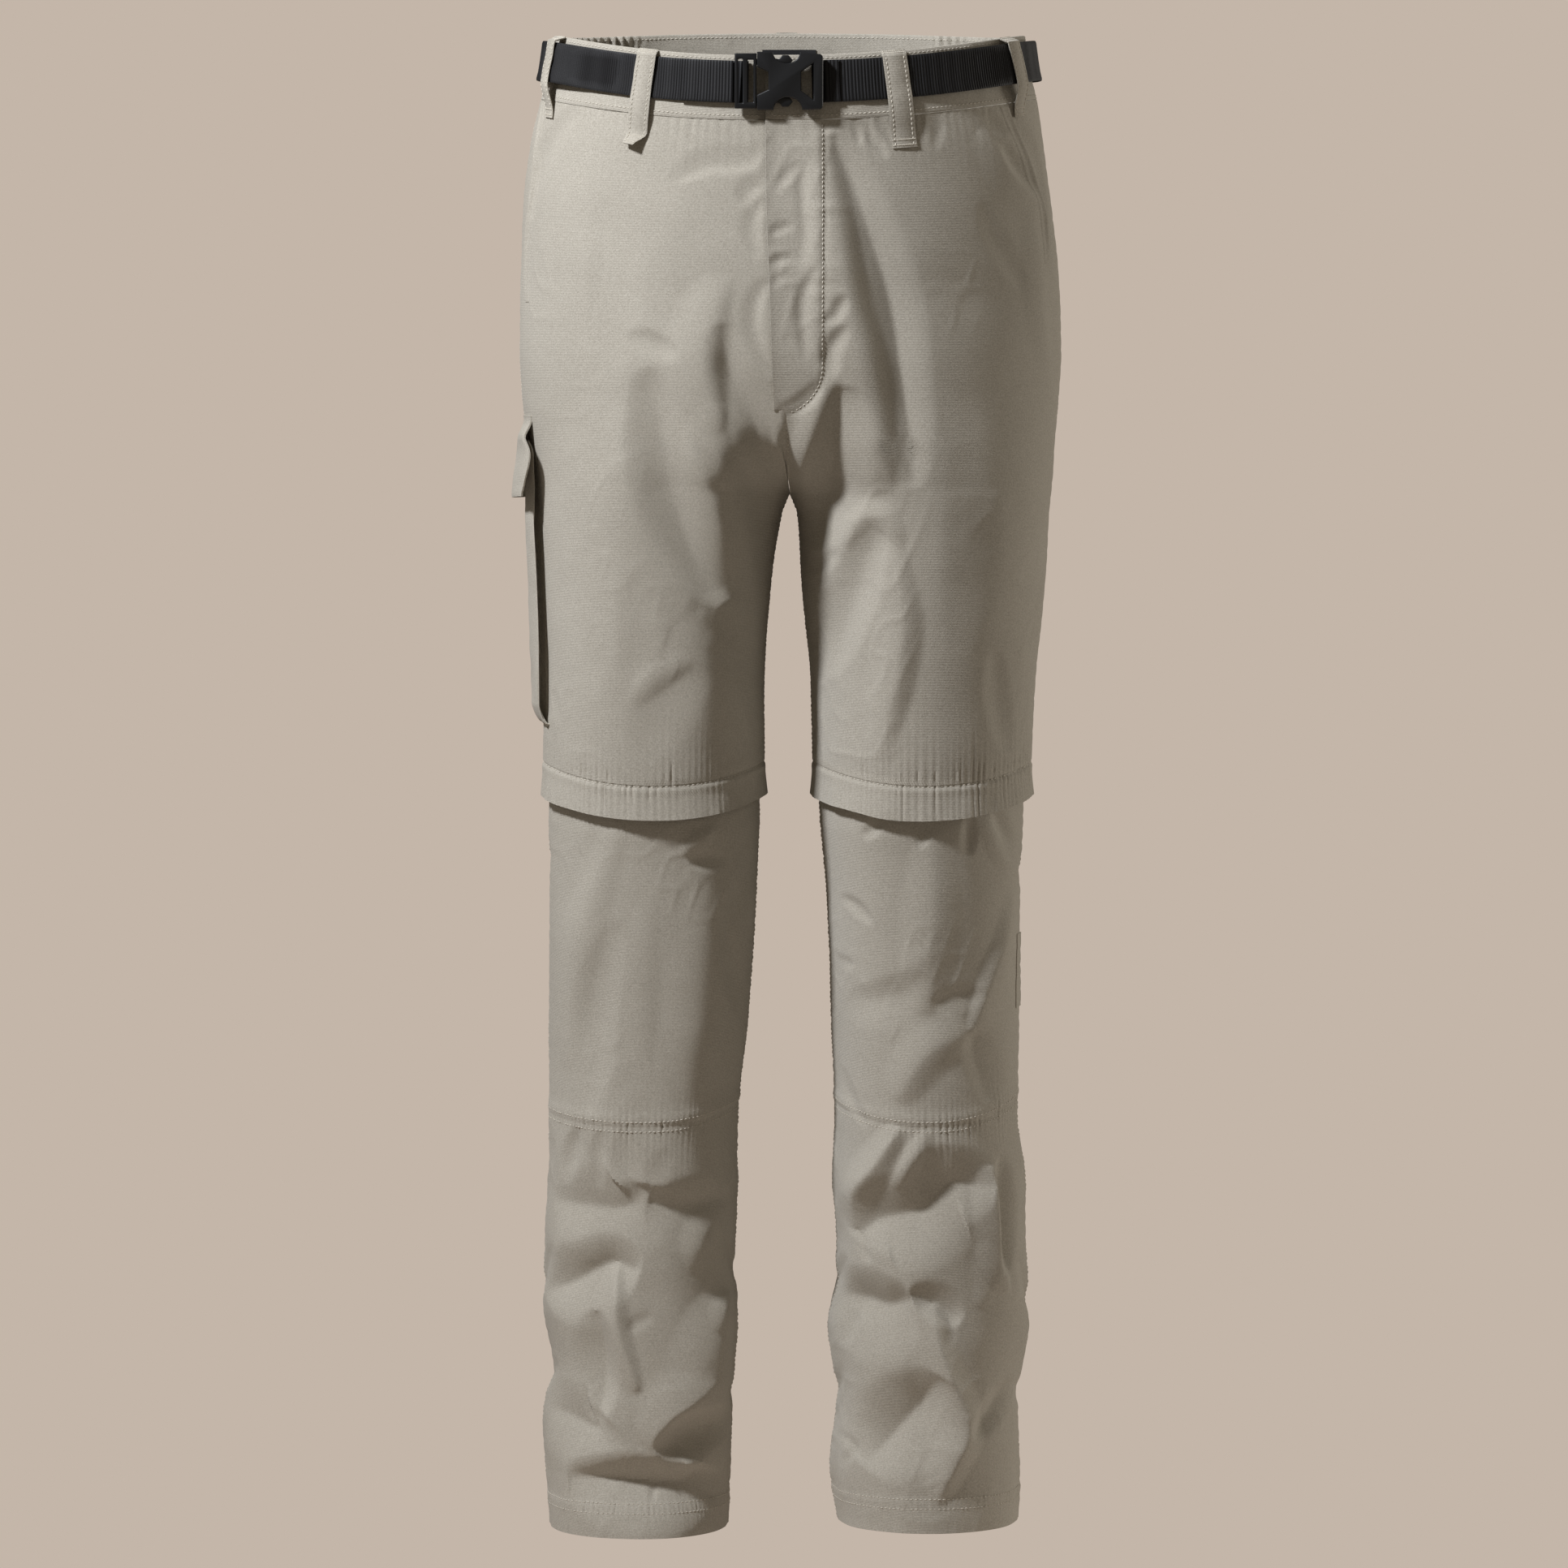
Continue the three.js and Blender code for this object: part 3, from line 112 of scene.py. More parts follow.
# Creases and folds by leg and face: path over that face (across, up), width on the left and right hand
# of the path, depth (negative goes in), crispness from 0 to 1
folds = {
    ("right", "front"): [
        # thigh
        ([(-14, -58), (-30, -70), (-57, -72), (-82, -84)], (8, 15), -1.8, 0.3),
        ([(-14, -82), (-26, -90), (-31, -102)], (7, 10), -1.6, 0.4),
        ([(-14, -96), (-23, -108), (-24, -122), (-19, -138)], (6, 9), -1.7, 0.5),
        ([(-11, -152), (-20, -165), (-23, -182), (-18, -204), (-9, -222)], (6, 11), -2.6, 0.5),
        ([(-114, -193), (-97, -197), (-76, -207)], (9, 13), -2, 0.3),
        ([(-99, -216), (-93, -250), (-86, -288), (-76, -320), (-62, -352), (-44, -382)],
         (26, 30), -10.5, 0.3),
        ([(-42, -150), (-52, -180), (-56, -212), (-53, -234), (-48, -262)], (15, 34), 4.5, 0.2),
        ([(-47, -184), (-40, -216), (-30, -238), (-21, -256), (-15, -284)], (22, 21), -6, 0.45),
        ([(-48, -240), (-52, -266), (-48, -286), (-40, -310), (-33, -339), (-27, -375), (-21, -430)],
         (20, 36), 5, 0.2),
        ([(-10, -200), (-12, -260), (-14, -320), (-17, -400), (-20, -470)], (10, 36), -3, 0.1),
        ([(-64, -391), (-46, -387), (-28, -388)], (14, 20), 0.9, 0.3),
        ([(-61, -388), (-59, -426), (-50, -462), (-40, -496)], (32, 34), 3, 0.1),
        ([(-58, -430), (-78, -444), (-94, -468), (-104, -498)], (26, 24), -1.6, 0.1),
        ([(-68, -424), (-92, -436), (-112, -456)], (12, 12), 1.6, 0.2),
        ([(-152, -70), (-146, -130), (-150, -190)], (16, 22), 1.2, 0.1),
        ([(-130, -90), (-122, -160), (-128, -230)], (22, 22), -1.2, 0.1),
        ([(-150, -300), (-136, -360), (-142, -450)], (22, 22), -1.4, 0.1),
        ([(-112, -360), (-106, -400), (-110, -440)], (18, 18), -1.4, 0.1),
        # below the knee
        ([(-118, -540), (-138, -596), (-154, -650), (-160, -724)], (16, 20), 2.8, 0.3),
        ([(-122, -612), (-136, -668), (-140, -720), (-142, -756)], (18, 18), -4.2, 0.1),
        ([(-52, -560), (-50, -620), (-58, -690), (-62, -762)], (18, 34), 2.6, 0.1),
        ([(-51, -545), (-62, -554), (-77, -562)], (8, 8), 2.4, 0.6),
        ([(-44, -568), (-56, -568), (-70, -570)], (9, 8), -2.4, 0.4),
        ([(-24, -545), (-30, -562), (-28, -582), (-42, -620), (-35, -668), (-26, -694)], (10, 12), -3, 0.5),
        ([(-97, -590), (-104, -650), (-104, -730)], (14, 16), 1.4, 0.1),
        ([(-90, -512), (-94, -524), (-98, -536)], (4, 4), -1, 0.5),
        # shin and ankle
        ([(-150, -763), (-156, -782), (-161, -806)], (8, 7), -2.6, 0.4),
        ([(-134, -765), (-136, -785), (-137, -806)], (7, 7), -2, 0.4),
        ([(-118, -763), (-115, -788), (-110, -814)], (11, 11), -1.6, 0.3),
        ([(-86, -778), (-92, -792), (-99, -804)], (10, 10), -0.8, 0.3),
        ([(-168, -819), (-146, -820), (-122, -821), (-108, -815), (-104, -802)], (32, 42), -8, 0.85),
        ([(-100, -816), (-76, -820), (-42, -818)], (22, 34), -5, 0.85),
        ([(-178, -888), (-160, -876), (-144, -867), (-126, -861), (-106, -866)], (24, 44), -11, 0.85),
        ([(-124, -862), (-122, -895), (-118, -920), (-107, -954)], (9, 20), 5.5, 0.85),
        ([(-139, -896), (-135, -920), (-134, -950), (-138, -976)], (14, 22), -7, 0.7),
        ([(-178, -969), (-158, -974), (-141, -980), (-132, -972)], (28, 36), -7.5, 0.85),
        ([(-44, -884), (-54, -926), (-58, -950), (-78, -969), (-101, -995)], (30, 34), 8.5, 0.6),
        ([(-40, -978), (-68, -986), (-94, -999)], (20, 20), -9, 0.2),
        ([(-158, -1018), (-130, -1017), (-98, -1019), (-70, -1020), (-60, -1009)], (20, 42), -12.5, 0.85),
        ([(-98, -999), (-76, -1004), (-58, -1012)], (5, 5), 1.6, 0.5),
        ([(-113, -911), (-107, -903), (-96, -899)], (6, 6), -1.2, 0.5),
        ([(-44, -820), (-60, -842), (-64, -870)], (12, 16), 2.4, 0.3),
        ([(-38, -884), (-50, -898), (-52, -914)], (8, 9), 2, 0.4),
        ([(-92, -1020), (-96, -1034)], (4, 4), -1, 0.5),
    ],
    ("left", "front"): [
        # thigh and fly
        ([(27, -54), (35, -103), (44, -166), (56, -205), (66, -255), (72, -305)], (17, 36), 5, 0.25),
        ([(33, -50), (47, -84), (59, -118), (71, -154), (78, -185), (83, -226), (88, -262), (90, -300)],
         (24, 30), -7.5, 0.8),
        ([(14, -62), (11, -84), (13, -110), (12, -130), (8, -142)], (6, 6), -1.2, 0.5),
        ([(26, -140), (18, -150), (12, -165), (11, -185), (14, -210)], (7, 6), -1.7, 0.5),
        ([(-10, -92), (0, -79), (9, -70)], (5, 6), -1, 0.6),
        ([(-12, -121), (-3, -117), (5, -114)], (6, 4), -1.1, 0.6),
        ([(-11, -142), (-3, -139), (5, -137)], (6, 4), -1.1, 0.6),
        ([(-10, -158), (-4, -152), (0, -150)], (5, 4), -0.8, 0.6),
        ([(22, -224), (18, -234), (6, -243), (-6, -244)], (7, 8), -2, 0.4),
        ([(41, -164), (36, -176), (28, -184)], (6, 7), -2, 0.5),
        ([(43, -186), (36, -195), (31, -206), (34, -222)], (8, 8), -2.6, 0.5),
        ([(36, -216), (26, -240), (18, -262), (12, -292), (9, -345)], (11, 15), 2.6, 0.2),
        ([(39, -228), (37, -252), (33, -275), (28, -298), (22, -320), (15, -344)], (34, 18), -8, 0.75),
        ([(40, -344), (50, -326), (62, -320), (74, -328), (80, -344)], (12, 10), 2.4, 0.4),
        ([(66, -330), (56, -350), (46, -376), (37, -402), (27, -438)], (22, 22), -7, 0.25),
        ([(78, -340), (81, -370), (84, -400), (79, -436), (72, -470), (68, -497)], (15, 24), 4.2, 0.4),
        ([(9, -342), (20, -357), (38, -346)], (10, 8), -1.8, 0.5),
        ([(150, -416), (153, -456), (160, -494)], (10, 12), -3, 0.3),
        ([(138, -46), (152, -66), (164, -83), (178, -97), (190, -115)], (8, 18), 2.8, 0.6),
        ([(154, -56), (166, -74), (178, -89)], (8, 7), -3.2, 0.4),
        ([(175, -100), (180, -135), (182, -168), (189, -214)], (8, 14), 2.2, 0.5),
        ([(139, -98), (148, -122), (158, -139), (171, -162)], (10, 9), -1.6, 0.4),
        ([(47, -38), (50, -48), (52, -58)], (4, 5), -1.3, 0.5),
        ([(52, -40), (60, -52), (72, -66)], (5, 5), -1.6, 0.5),
        ([(62, -38), (70, -46), (78, -58)], (5, 5), -1.2, 0.5),
        ([(104, -34), (108, -46), (106, -60)], (5, 5), -1, 0.4),
        ([(142, -34), (150, -42), (158, -48)], (6, 6), -1.6, 0.4),
        ([(124, -270), (134, -340), (124, -420)], (24, 24), -1.6, 0.1),
        # below the knee
        ([(66, -536), (62, -546), (54, -552)], (6, 6), -2, 0.5),
        ([(100, -536), (98, -548), (96, -560)], (6, 6), -1.8, 0.4),
        ([(133, -536), (132, -550), (130, -566)], (6, 7), -3, 0.5),
        ([(150, -532), (156, -546), (164, -562)], (7, 6), -3.2, 0.5),
        ([(143, -538), (150, -560), (162, -578)], (6, 8), 2, 0.5),
        ([(104, -546), (106, -600), (101, -650), (98, -680)], (22, 26), 4, 0.3),
        ([(166, -592), (158, -624), (148, -650), (139, -678), (133, -696)], (22, 9), 5, 0.65),
        ([(80, -744), (96, -715), (112, -701), (136, -692)], (24, 20), 4.4, 0.45),
        ([(134, -692), (139, -718), (148, -744)], (20, 12), -3.6, 0.6),
        ([(104, -675), (120, -667), (141, -666)], (10, 14), -2.2, 0.5),
        ([(45, -667), (60, -671), (82, -665), (99, -650)], (17, 26), -2.8, 0.4),
        ([(39, -597), (51, -603), (61, -615)], (5, 6), -1.8, 0.6),
        ([(38, -641), (48, -648)], (4, 5), -1.2, 0.6),
        ([(40, -722), (46, -742), (58, -764)], (6, 5), -1.8, 0.6),
        # shin and ankle
        ([(82, -762), (67, -790), (51, -814), (49, -840)], (12, 18), 6.5, 0.8),
        ([(102, -764), (92, -785), (77, -808)], (9, 10), 2.6, 0.4),
        ([(114, -774), (102, -798), (86, -818)], (15, 15), -2.2, 0.3),
        ([(49, -844), (62, -831), (82, -826), (100, -821), (113, -808), (126, -803), (148, -807)],
         (34, 44), -12, 0.8),
        ([(147, -790), (149, -832), (153, -862), (160, -886)], (7, 15), 6.5, 0.7),
        ([(156, -784), (158, -826), (157, -872)], (10, 8), -6.5, 0.4),
        ([(50, -842), (56, -852), (60, -862)], (4, 5), -1.6, 0.7),
        ([(30, -888), (50, -889), (70, -892), (90, -886)], (26, 46), -12, 0.8),
        ([(88, -882), (106, -890), (125, -904)], (18, 12), -6, 0.5),
        ([(106, -890), (110, -918), (118, -945), (127, -970), (128, -988), (121, -1006), (108, -1034)],
         (15, 26), 7.5, 0.8),
        ([(118, -900), (118, -912), (117, -922)], (5, 5), -0.8, 0.4),
        ([(112, -943), (98, -962), (82, -976), (68, -990), (54, -1008)], (44, 36), -11.5, 0.7),
        ([(165, -949), (150, -970), (133, -989)], (10, 13), -5.5, 0.7),
        ([(32, -992), (42, -992), (48, -1000), (41, -1012)], (4, 4), -1.6, 0.6),
        ([(43, -898), (40, -926)], (7, 7), -2, 0.3),
        ([(140, -846), (147, -876), (138, -894)], (10, 12), 1.6, 0.3),
    ],
    ("right", "back"): [
        # seat and thigh
        ([(-150, -92), (-92, -116), (-30, -150)], (22, 26), -3, 0.2),
        ([(-72, -186), (-50, -226), (-30, -258), (-14, -286)], (20, 30), -6.5, 0.5),
        ([(-140, -252), (-96, -272), (-44, -280), (-12, -292)], (14, 28), -5, 0.6),
        ([(-24, -300), (-58, -330), (-84, -368), (-96, -410)], (20, 26), -6, 0.4),
        ([(-166, -432), (-118, -452), (-60, -458), (-36, -446)], (26, 14), -5, 0.65),
        ([(-96, -300), (-106, -380), (-98, -450)], (24, 24), 3, 0.2),
        # lower leg
        ([(-170, -556), (-120, -582), (-70, -586), (-40, -566)], (30, 15), -7, 0.7),
        ([(-164, -622), (-120, -642), (-66, -630)], (24, 13), -5, 0.6),
        ([(-70, -590), (-92, -640), (-84, -700)], (16, 20), 3.4, 0.4),
        ([(-112, -640), (-120, -720), (-114, -800)], (20, 20), 3, 0.2),
        ([(-46, -838), (-78, -842), (-122, -856), (-168, -884)], (12, 28), -8, 0.75),
        ([(-170, -916), (-128, -934), (-84, -944), (-50, -968)], (26, 13), -8, 0.7),
        ([(-96, -856), (-88, -890), (-98, -930)], (12, 20), 4, 0.5),
        ([(-58, -1004), (-98, -1016), (-134, -1014), (-158, -1000)], (20, 20), -7, 0.75),
    ],
    ("left", "back"): [
        # seat and thigh
        ([(150, -88), (98, -118), (34, -156)], (24, 22), -3, 0.2),
        ([(76, -180), (54, -220), (32, -256), (16, -284)], (30, 20), -6.5, 0.5),
        ([(144, -256), (100, -278), (50, -286), (16, -296)], (28, 14), -5, 0.6),
        ([(30, -304), (66, -344), (94, -386), (104, -424)], (26, 20), -6, 0.4),
        ([(50, -424), (96, -446), (140, -452), (166, -438)], (14, 26), -5, 0.65),
        ([(112, -300), (104, -370), (114, -440)], (24, 24), 3, 0.2),
        # lower leg
        ([(46, -562), (86, -590), (130, -594), (168, -560)], (15, 30), -7, 0.7),
        ([(56, -632), (104, -654), (152, -636)], (13, 24), -5, 0.6),
        ([(88, -596), (110, -650), (100, -716)], (20, 16), 3.4, 0.4),
        ([(48, -850), (92, -850), (130, -866), (170, -892)], (28, 12), -8, 0.75),
        ([(44, -928), (84, -940), (126, -952), (166, -980)], (13, 26), -8, 0.7),
        ([(112, -862), (122, -900), (112, -940)], (20, 12), 4, 0.5),
        ([(52, -1000), (88, -1018), (126, -1020), (156, -1006)], (20, 20), -7, 0.75),
    ],
    ("right", "outer"): [
        ([(-34, -852), (4, -880), (50, -896)], (12, 18), -2.8, 0.6),
        ([(-30, -940), (8, -952), (50, -940)], (14, 12), -2.2, 0.6),
        ([(-24, -560), (20, -584), (56, -572)], (14, 14), -1.9, 0.5),
        ([(-70, -30), (-44, -66), (-34, -110)], (14, 16), -2.6, 0.3),
        ([(24, -40), (30, -110), (22, -200)], (22, 22), -2.4, 0.1),
    ],
    ("left", "outer"): [
        ([(-36, -862), (4, -892), (50, -904)], (12, 18), -2.8, 0.6),
        ([(-24, -952), (10, -964), (54, -950)], (14, 12), -2.2, 0.6),
        ([(-30, -566), (14, -588), (54, -574)], (14, 14), -1.9, 0.5),
        ([(-70, -30), (-40, -66), (-30, -110)], (14, 16), -2.6, 0.3),
        ([(20, -40), (28, -120), (20, -210)], (22, 22), -2.4, 0.1),
    ],
    ("right", "inner"): [
        ([(-34, -846), (4, -872), (48, -878)], (12, 18), -2.8, 0.6),
        ([(-30, -950), (4, -966), (44, -952)], (14, 12), -2.2, 0.6),
    ],
    ("left", "inner"): [
        ([(-36, -862), (4, -880), (48, -880)], (12, 18), -2.8, 0.6),
        ([(-32, -944), (4, -960), (46, -944)], (14, 12), -2.2, 0.6),
    ],
}

# Rows where the sewing draws the cloth up: leg, seam, place, from, to, spacing, reach before and
# after the seam, depth. A level seam runs round the leg at a height, an upright one at a station.
puckers = [
    ("both", "level", -22, 0.0, 0.5, 13, 0, 22, 0.5),
    ("both", "level", -22, 0.46, 1.0, 8, 0, 34, 1.1),
    ("both", "level", -500, 0.0, 1.0, 8.5, 17, 3, 0.85),
    ("both", "level", -762, 0.0, 0.5, 9, 10, 18, 0.55),
    ("right", "level", -1040, 0.0, 1.0, 9, 8, 7, 0.6),
    ("left", "level", -1036, 0.0, 1.0, 9, 8, 7, 0.6),
    ("both", "upright", 0.5, -30, -490, 12, 9, 9, 0.5),
    ("both", "upright", 0.5, -510, -1050, 10, 11, 11, 0.75),
    ("both", "upright", 0.0, -320, -490, 9, 10, 10, 0.7),
    ("both", "upright", 0.0, -510, -1050, 10, 12, 12, 0.8),
    ("both", "upright", 1.0, -30, -490, 10, 11, 11, 0.7),
    ("both", "upright", 1.0, -510, -1050, 10, 12, 12, 0.8),
    ("both", "level", -500, 0.2, 0.5, 8.5, 18, 3, 0.9),
    ("both", "level", -762, 0.2, 0.5, 9, 14, 18, 0.7),
]


def smooth(start, end, value):
    q = np.clip((np.asarray(value, float) - start) / (end - start), 0, 1)
    return q * q * (3 - 2 * q)


def between(rows, z, column):
    heights, values = rows[:, 0], rows[:, column]
    steps = np.diff(values) / np.diff(heights)
    product, total = steps[:-1] * steps[1:], steps[:-1] + steps[1:]
    slopes = np.zeros(len(values))
    slopes[1:-1] = np.where(product <= 0, 0, 2 * product / np.where(total == 0, 1, total))
    z = np.clip(z, heights[-1], heights[0])
    i = np.clip(np.searchsorted(-heights, -z, side="right") - 1, 0, len(heights) - 2)
    span = heights[i + 1] - heights[i]
    q = (z - heights[i]) / span
    bend = q * (1 - q) * span * (slopes[i] * (1 - q) - slopes[i + 1] * q)
    return values[i] + (values[i + 1] - values[i]) * q * q * (3 - 2 * q) + bend


def power(value, exponent):
    return np.sign(value) * np.abs(value) ** exponent


def unit(vectors):
    return vectors / np.maximum(np.linalg.norm(vectors, axis=-1, keepdims=True), 1e-9)


def sameShape(a, b):
    return np.broadcast_arrays(np.asarray(a, float), np.asarray(b, float))


def bell(distance, width):
    return np.exp(-(distance / width) ** 2)


def crossLine(leg, station):
    inner, outer = body["crossRise"][leg]
    rise = inner * (station < 0.25) + outer * (station >= 0.25)
    return body["crossSeam"] + rise * np.cos(2 * np.pi * station) ** 2


def seamLift(station, z):
    front = station < 0.5
    turn = (1 + np.cos(2 * np.pi * station)) / 2
    waist = np.where(front, -body["waistDropFront"], body["waistRiseBack"]) * turn
    knee = np.where(front, -body["kneeDip"] * np.sin(2 * np.pi * station) ** 2, 0)
    nearKnee = np.maximum(0, 1 - ((z - body["knee"]) / body["kneeDipReach"]) ** 2)
    return waist * smooth(body["waistLevel"], body["bandBottom"], z) + knee * nearKnee ** 2


def formPoints(leg, station, z):
    station, z = sameShape(station, z)
    side = sideOf[leg]
    outer, inner, front, back = (between(sections[leg], z, column) for column in (1, 2, 3, 4))
    half, middle = (outer - inner) / 2, (outer + inner) / 2
    cut = side * np.where(station < 0.5, between(middleRows, z, 1), between(middleRows, z, 2))
    reach = np.where(z <= body["crotch"], -1, np.clip((cut - middle) / half, -1, 1))
    share = 2 * station - 1
    near = 1 + 3 * smooth(*body["seatShift"], z)
    turn = math.pi * share - (math.pi - np.arccos(power(reach, body["ovalPower"] / 2))) * power(share, near)
    x = middle + half * power(np.cos(turn), 2 / body["ovalPower"])
    y = (front + back) / 2 + (back - front) / 2 * power(np.sin(turn), 2 / body["ovalPower"])
    return np.stack([side * x, y, z + seamLift(station, z)], -1)


def formNormals(leg, station, z):
    station, z = sameShape(station, z)
    side = sideOf[leg]
    now, above = ([between(sections[leg], z + step, column) for column in (1, 2, 3, 4)]
                  for step in (-0.5, 0.5))
    middle, wide = (now[0] + now[1]) / 2, (now[0] - now[1]) / 2
    centre, deep = (now[2] + now[3]) / 2, (now[3] - now[2]) / 2
    points = formPoints(leg, station, z)
    across, through = (side * points[..., 0] - middle) / wide, (points[..., 1] - centre) / deep
    slopeX = power(across, body["ovalPower"] - 1) / wide
    slopeY = power(through, body["ovalPower"] - 1) / deep
    drift = ((above[0] + above[1]) / 2 - middle) + across * ((above[0] - above[1]) / 2 - wide)
    lean = ((above[2] + above[3]) / 2 - centre) + through * ((above[3] - above[2]) / 2 - deep)
    normal = np.stack([side * slopeX, slopeY, -slopeX * drift - slopeY * lean], -1)
    return unit(normal)


def normalsOf(surface, u, v, facing, du=0.002, dv=0.6):
    along = surface(u + du, v) - surface(u - du, v)
    up = surface(u, v + dv) - surface(u, v - dv)
    return facing * unit(np.cross(along, up))


def raised(surface, u, v, facing, lift, **steps):
    return surface(u, v) + normalsOf(surface, u, v, facing, **steps) * lift[..., None]


def softNoise(x, y, seed):
    size = 64
    lattice = np.random.default_rng(seed).random((size, size)) * 2 - 1
    x, y = sameShape(x, y)
    i, j = np.floor(x).astype(int), np.floor(y).astype(int)
    p, q = x - i, y - j
    p, q = p ** 3 * (p * (6 * p - 15) + 10), q ** 3 * (q * (6 * q - 15) + 10)
    pick = lambda a, b: lattice[(i + a) % size, (j + b) % size]
    near = pick(0, 0) * (1 - p) + pick(1, 0) * p
    return near * (1 - q) + (pick(0, 1) * (1 - p) + pick(1, 1) * p) * q


def rounded(path, steps=5):
    points = np.array([path[0], *path, path[-1]], float)
    made = []
    for a, b, c, d in zip(points, points[1:], points[2:], points[3:]):
        for t in np.arange(steps) / steps:
            made.append(0.5 * (2 * b + (c - a) * t + (2 * a - 5 * b + 4 * c - d) * t * t
                               + (3 * b - a - 3 * c + d) * t ** 3))
    return [*made, points[-1]]


def nearPath(path, across, up):
    best = np.full(across.shape, 1e9)
    share, hand = np.zeros(across.shape), np.zeros(across.shape)
    pieces = list(zip(path, path[1:]))
    total = sum(math.hypot(*(b - a)) for a, b in pieces)
    before = 0
    for a, b in pieces:
        dx, dz = b - a
        length = max(math.hypot(dx, dz), 1e-6)
        q = np.clip(((across - a[0]) * dx + (up - a[1]) * dz) / length ** 2, 0, 1)
        gx, gz = across - a[0] - q * dx, up - a[1] - q * dz
        distance = np.hypot(gx, gz)
        closer = distance < best
        best = np.where(closer, distance, best)
        share = np.where(closer, (before + q * length) / total, share)
        hand = np.where(closer, dx * gz - dz * gx, hand)
        before += length
    return best, share, hand


foldShape = {
    "ankleBelow": -755, "ankleGain": 1.18,  # the slack cloth at the shins is creased more deeply
    "faceTurn": (0.1, 0.6),  # how far the cloth has to face a fold's side before the fold shows
    "endWidth": 0.35,  # a fold narrows to this share at its ends
    "blunt": 1.3,  # no crease is sharper than the cloth is thick
    "crispPower": 1.6,
}
roundedFolds = {"right": [], "left": []}
for (leg, face), rows in folds.items():
    for path, wide, deep, crisp in rows:
        atAnkle = face == "front" and path[0][1] < foldShape["ankleBelow"]
        gain = foldShape["ankleGain"] if atAnkle else 1
        roundedFolds[leg].append((face, rounded(path), wide, deep * gain, crisp))


def foldMove(leg, points, normals):
    side = sideOf[leg]
    move = np.zeros(points.shape[:-1])
    toward = {"front": -normals[..., 1], "back": normals[..., 1],
              "outer": side * normals[..., 0], "inner": -side * normals[..., 0]}
    weights = {face: smooth(*foldShape["faceTurn"], value) for face, value in toward.items()}
    narrow, blunt = foldShape["endWidth"], foldShape["blunt"]
    for face, path, wide, deep, crisp in roundedFolds[leg]:
        across = points[..., 0] if face in ("front", "back") else points[..., 1]
        up = points[..., 2]
        corners = np.array(path)
        room = max(wide)
        close = ((across > corners[:, 0].min() - room) & (across < corners[:, 0].max() + room)
                 & (up > corners[:, 1].min() - room) & (up < corners[:, 1].max() + room)
                 & (weights[face] > 0))
        if not close.any():
            continue
        distance, share, hand = nearPath(path, across[close], up[close])
        taper = np.clip(4 * share * (1 - share), 0, 1) ** (1 - 0.5 * crisp)
        width = np.where(hand > 0, wide[0], wide[1]) * (narrow + (1 - narrow) * taper)
        t = np.clip((np.hypot(distance, blunt) - blunt) / width, 0, 1)
        profile = (1 - crisp) * (1 - t * t) ** 2 + crisp * (1 - t) ** foldShape["crispPower"]
        move[close] += deep * taper * profile * weights[face][close]
    return move


puckerShape = {
    "wander": 0.32, "lean": 0.0025,  # how unevenly the dips follow each other, and lean off the seam
    "level": 0.35, "dip": 1.3, "sharp": 1.5,  # narrow dips with puffs between
    "strength": (0.7, 0.5), "spread": (0.6, 0.8),  # least and range
    "fadeIn": 8,  # at the ends of an upright row
}


def gatherWave(phase, level):
    return level - puckerShape["dip"] * (1 - np.abs(np.sin(np.pi * phase))) ** puckerShape["sharp"]


def puckerMove(leg, station, z):
    station, z = sameShape(station, z)
    move = np.zeros(station.shape)
    shape = puckerShape
    fadeIn, strong, spreads = shape["fadeIn"], shape["strength"], shape["spread"]
    for n, (whose, way, place, start, end, spacing, before, after, deep) in enumerate(puckers):
        if whose not in ("both", leg):
            continue
        if way == "level":
            level = crossLine(leg, station) if place == body["crossSeam"] else place
            along, distance = station * body["roundLeg"], z - level
            inside = smooth(start - 0.001, start + 0.02, station) * smooth(end + 0.001, end - 0.02, station)
            if start == 0 and end == 1:
                inside = np.ones(station.shape)
        else:
            along, distance = z, (station - place) * thighRound
            inside = smooth(start, start - fadeIn, z) * smooth(end, end + fadeIn, z)
        seed = 40 + n + (7 if leg == "left" else 0)
        count = along / spacing
        phase = count + shape["wander"] * softNoise(count * 0.6, 0.5, seed) + shape["lean"] * distance
        wave = gatherWave(phase, shape["level"])
        strength = strong[0] + strong[1] * softNoise(count / 1.3, 0.5, seed + 3)
        spread = spreads[0] + spreads[1] * (0.5 + 0.5 * softNoise(count * 0.8, 4.5, seed + 5))
        reach = np.where(distance > 0, max(before, 0.01), max(after, 0.01)) * spread
        move += deep * wave * strength * inside * np.exp(-np.abs(distance) / reach)
    return move


# Small wrinkles all over, larger and deeper from the shin down: sizes across and up, depth, what the
# lower leg adds to it
wrinkles = {
    "broad": (46, 62, 0.55, 0.75), "middle": (19, 27, 0.26, 0.36), "ridge": (15, 24, 0.5),
    "patch": (60, 80), "lower": (-700, -820), "seeds": {"right": (300, 340), "left": (320, 360)},
}


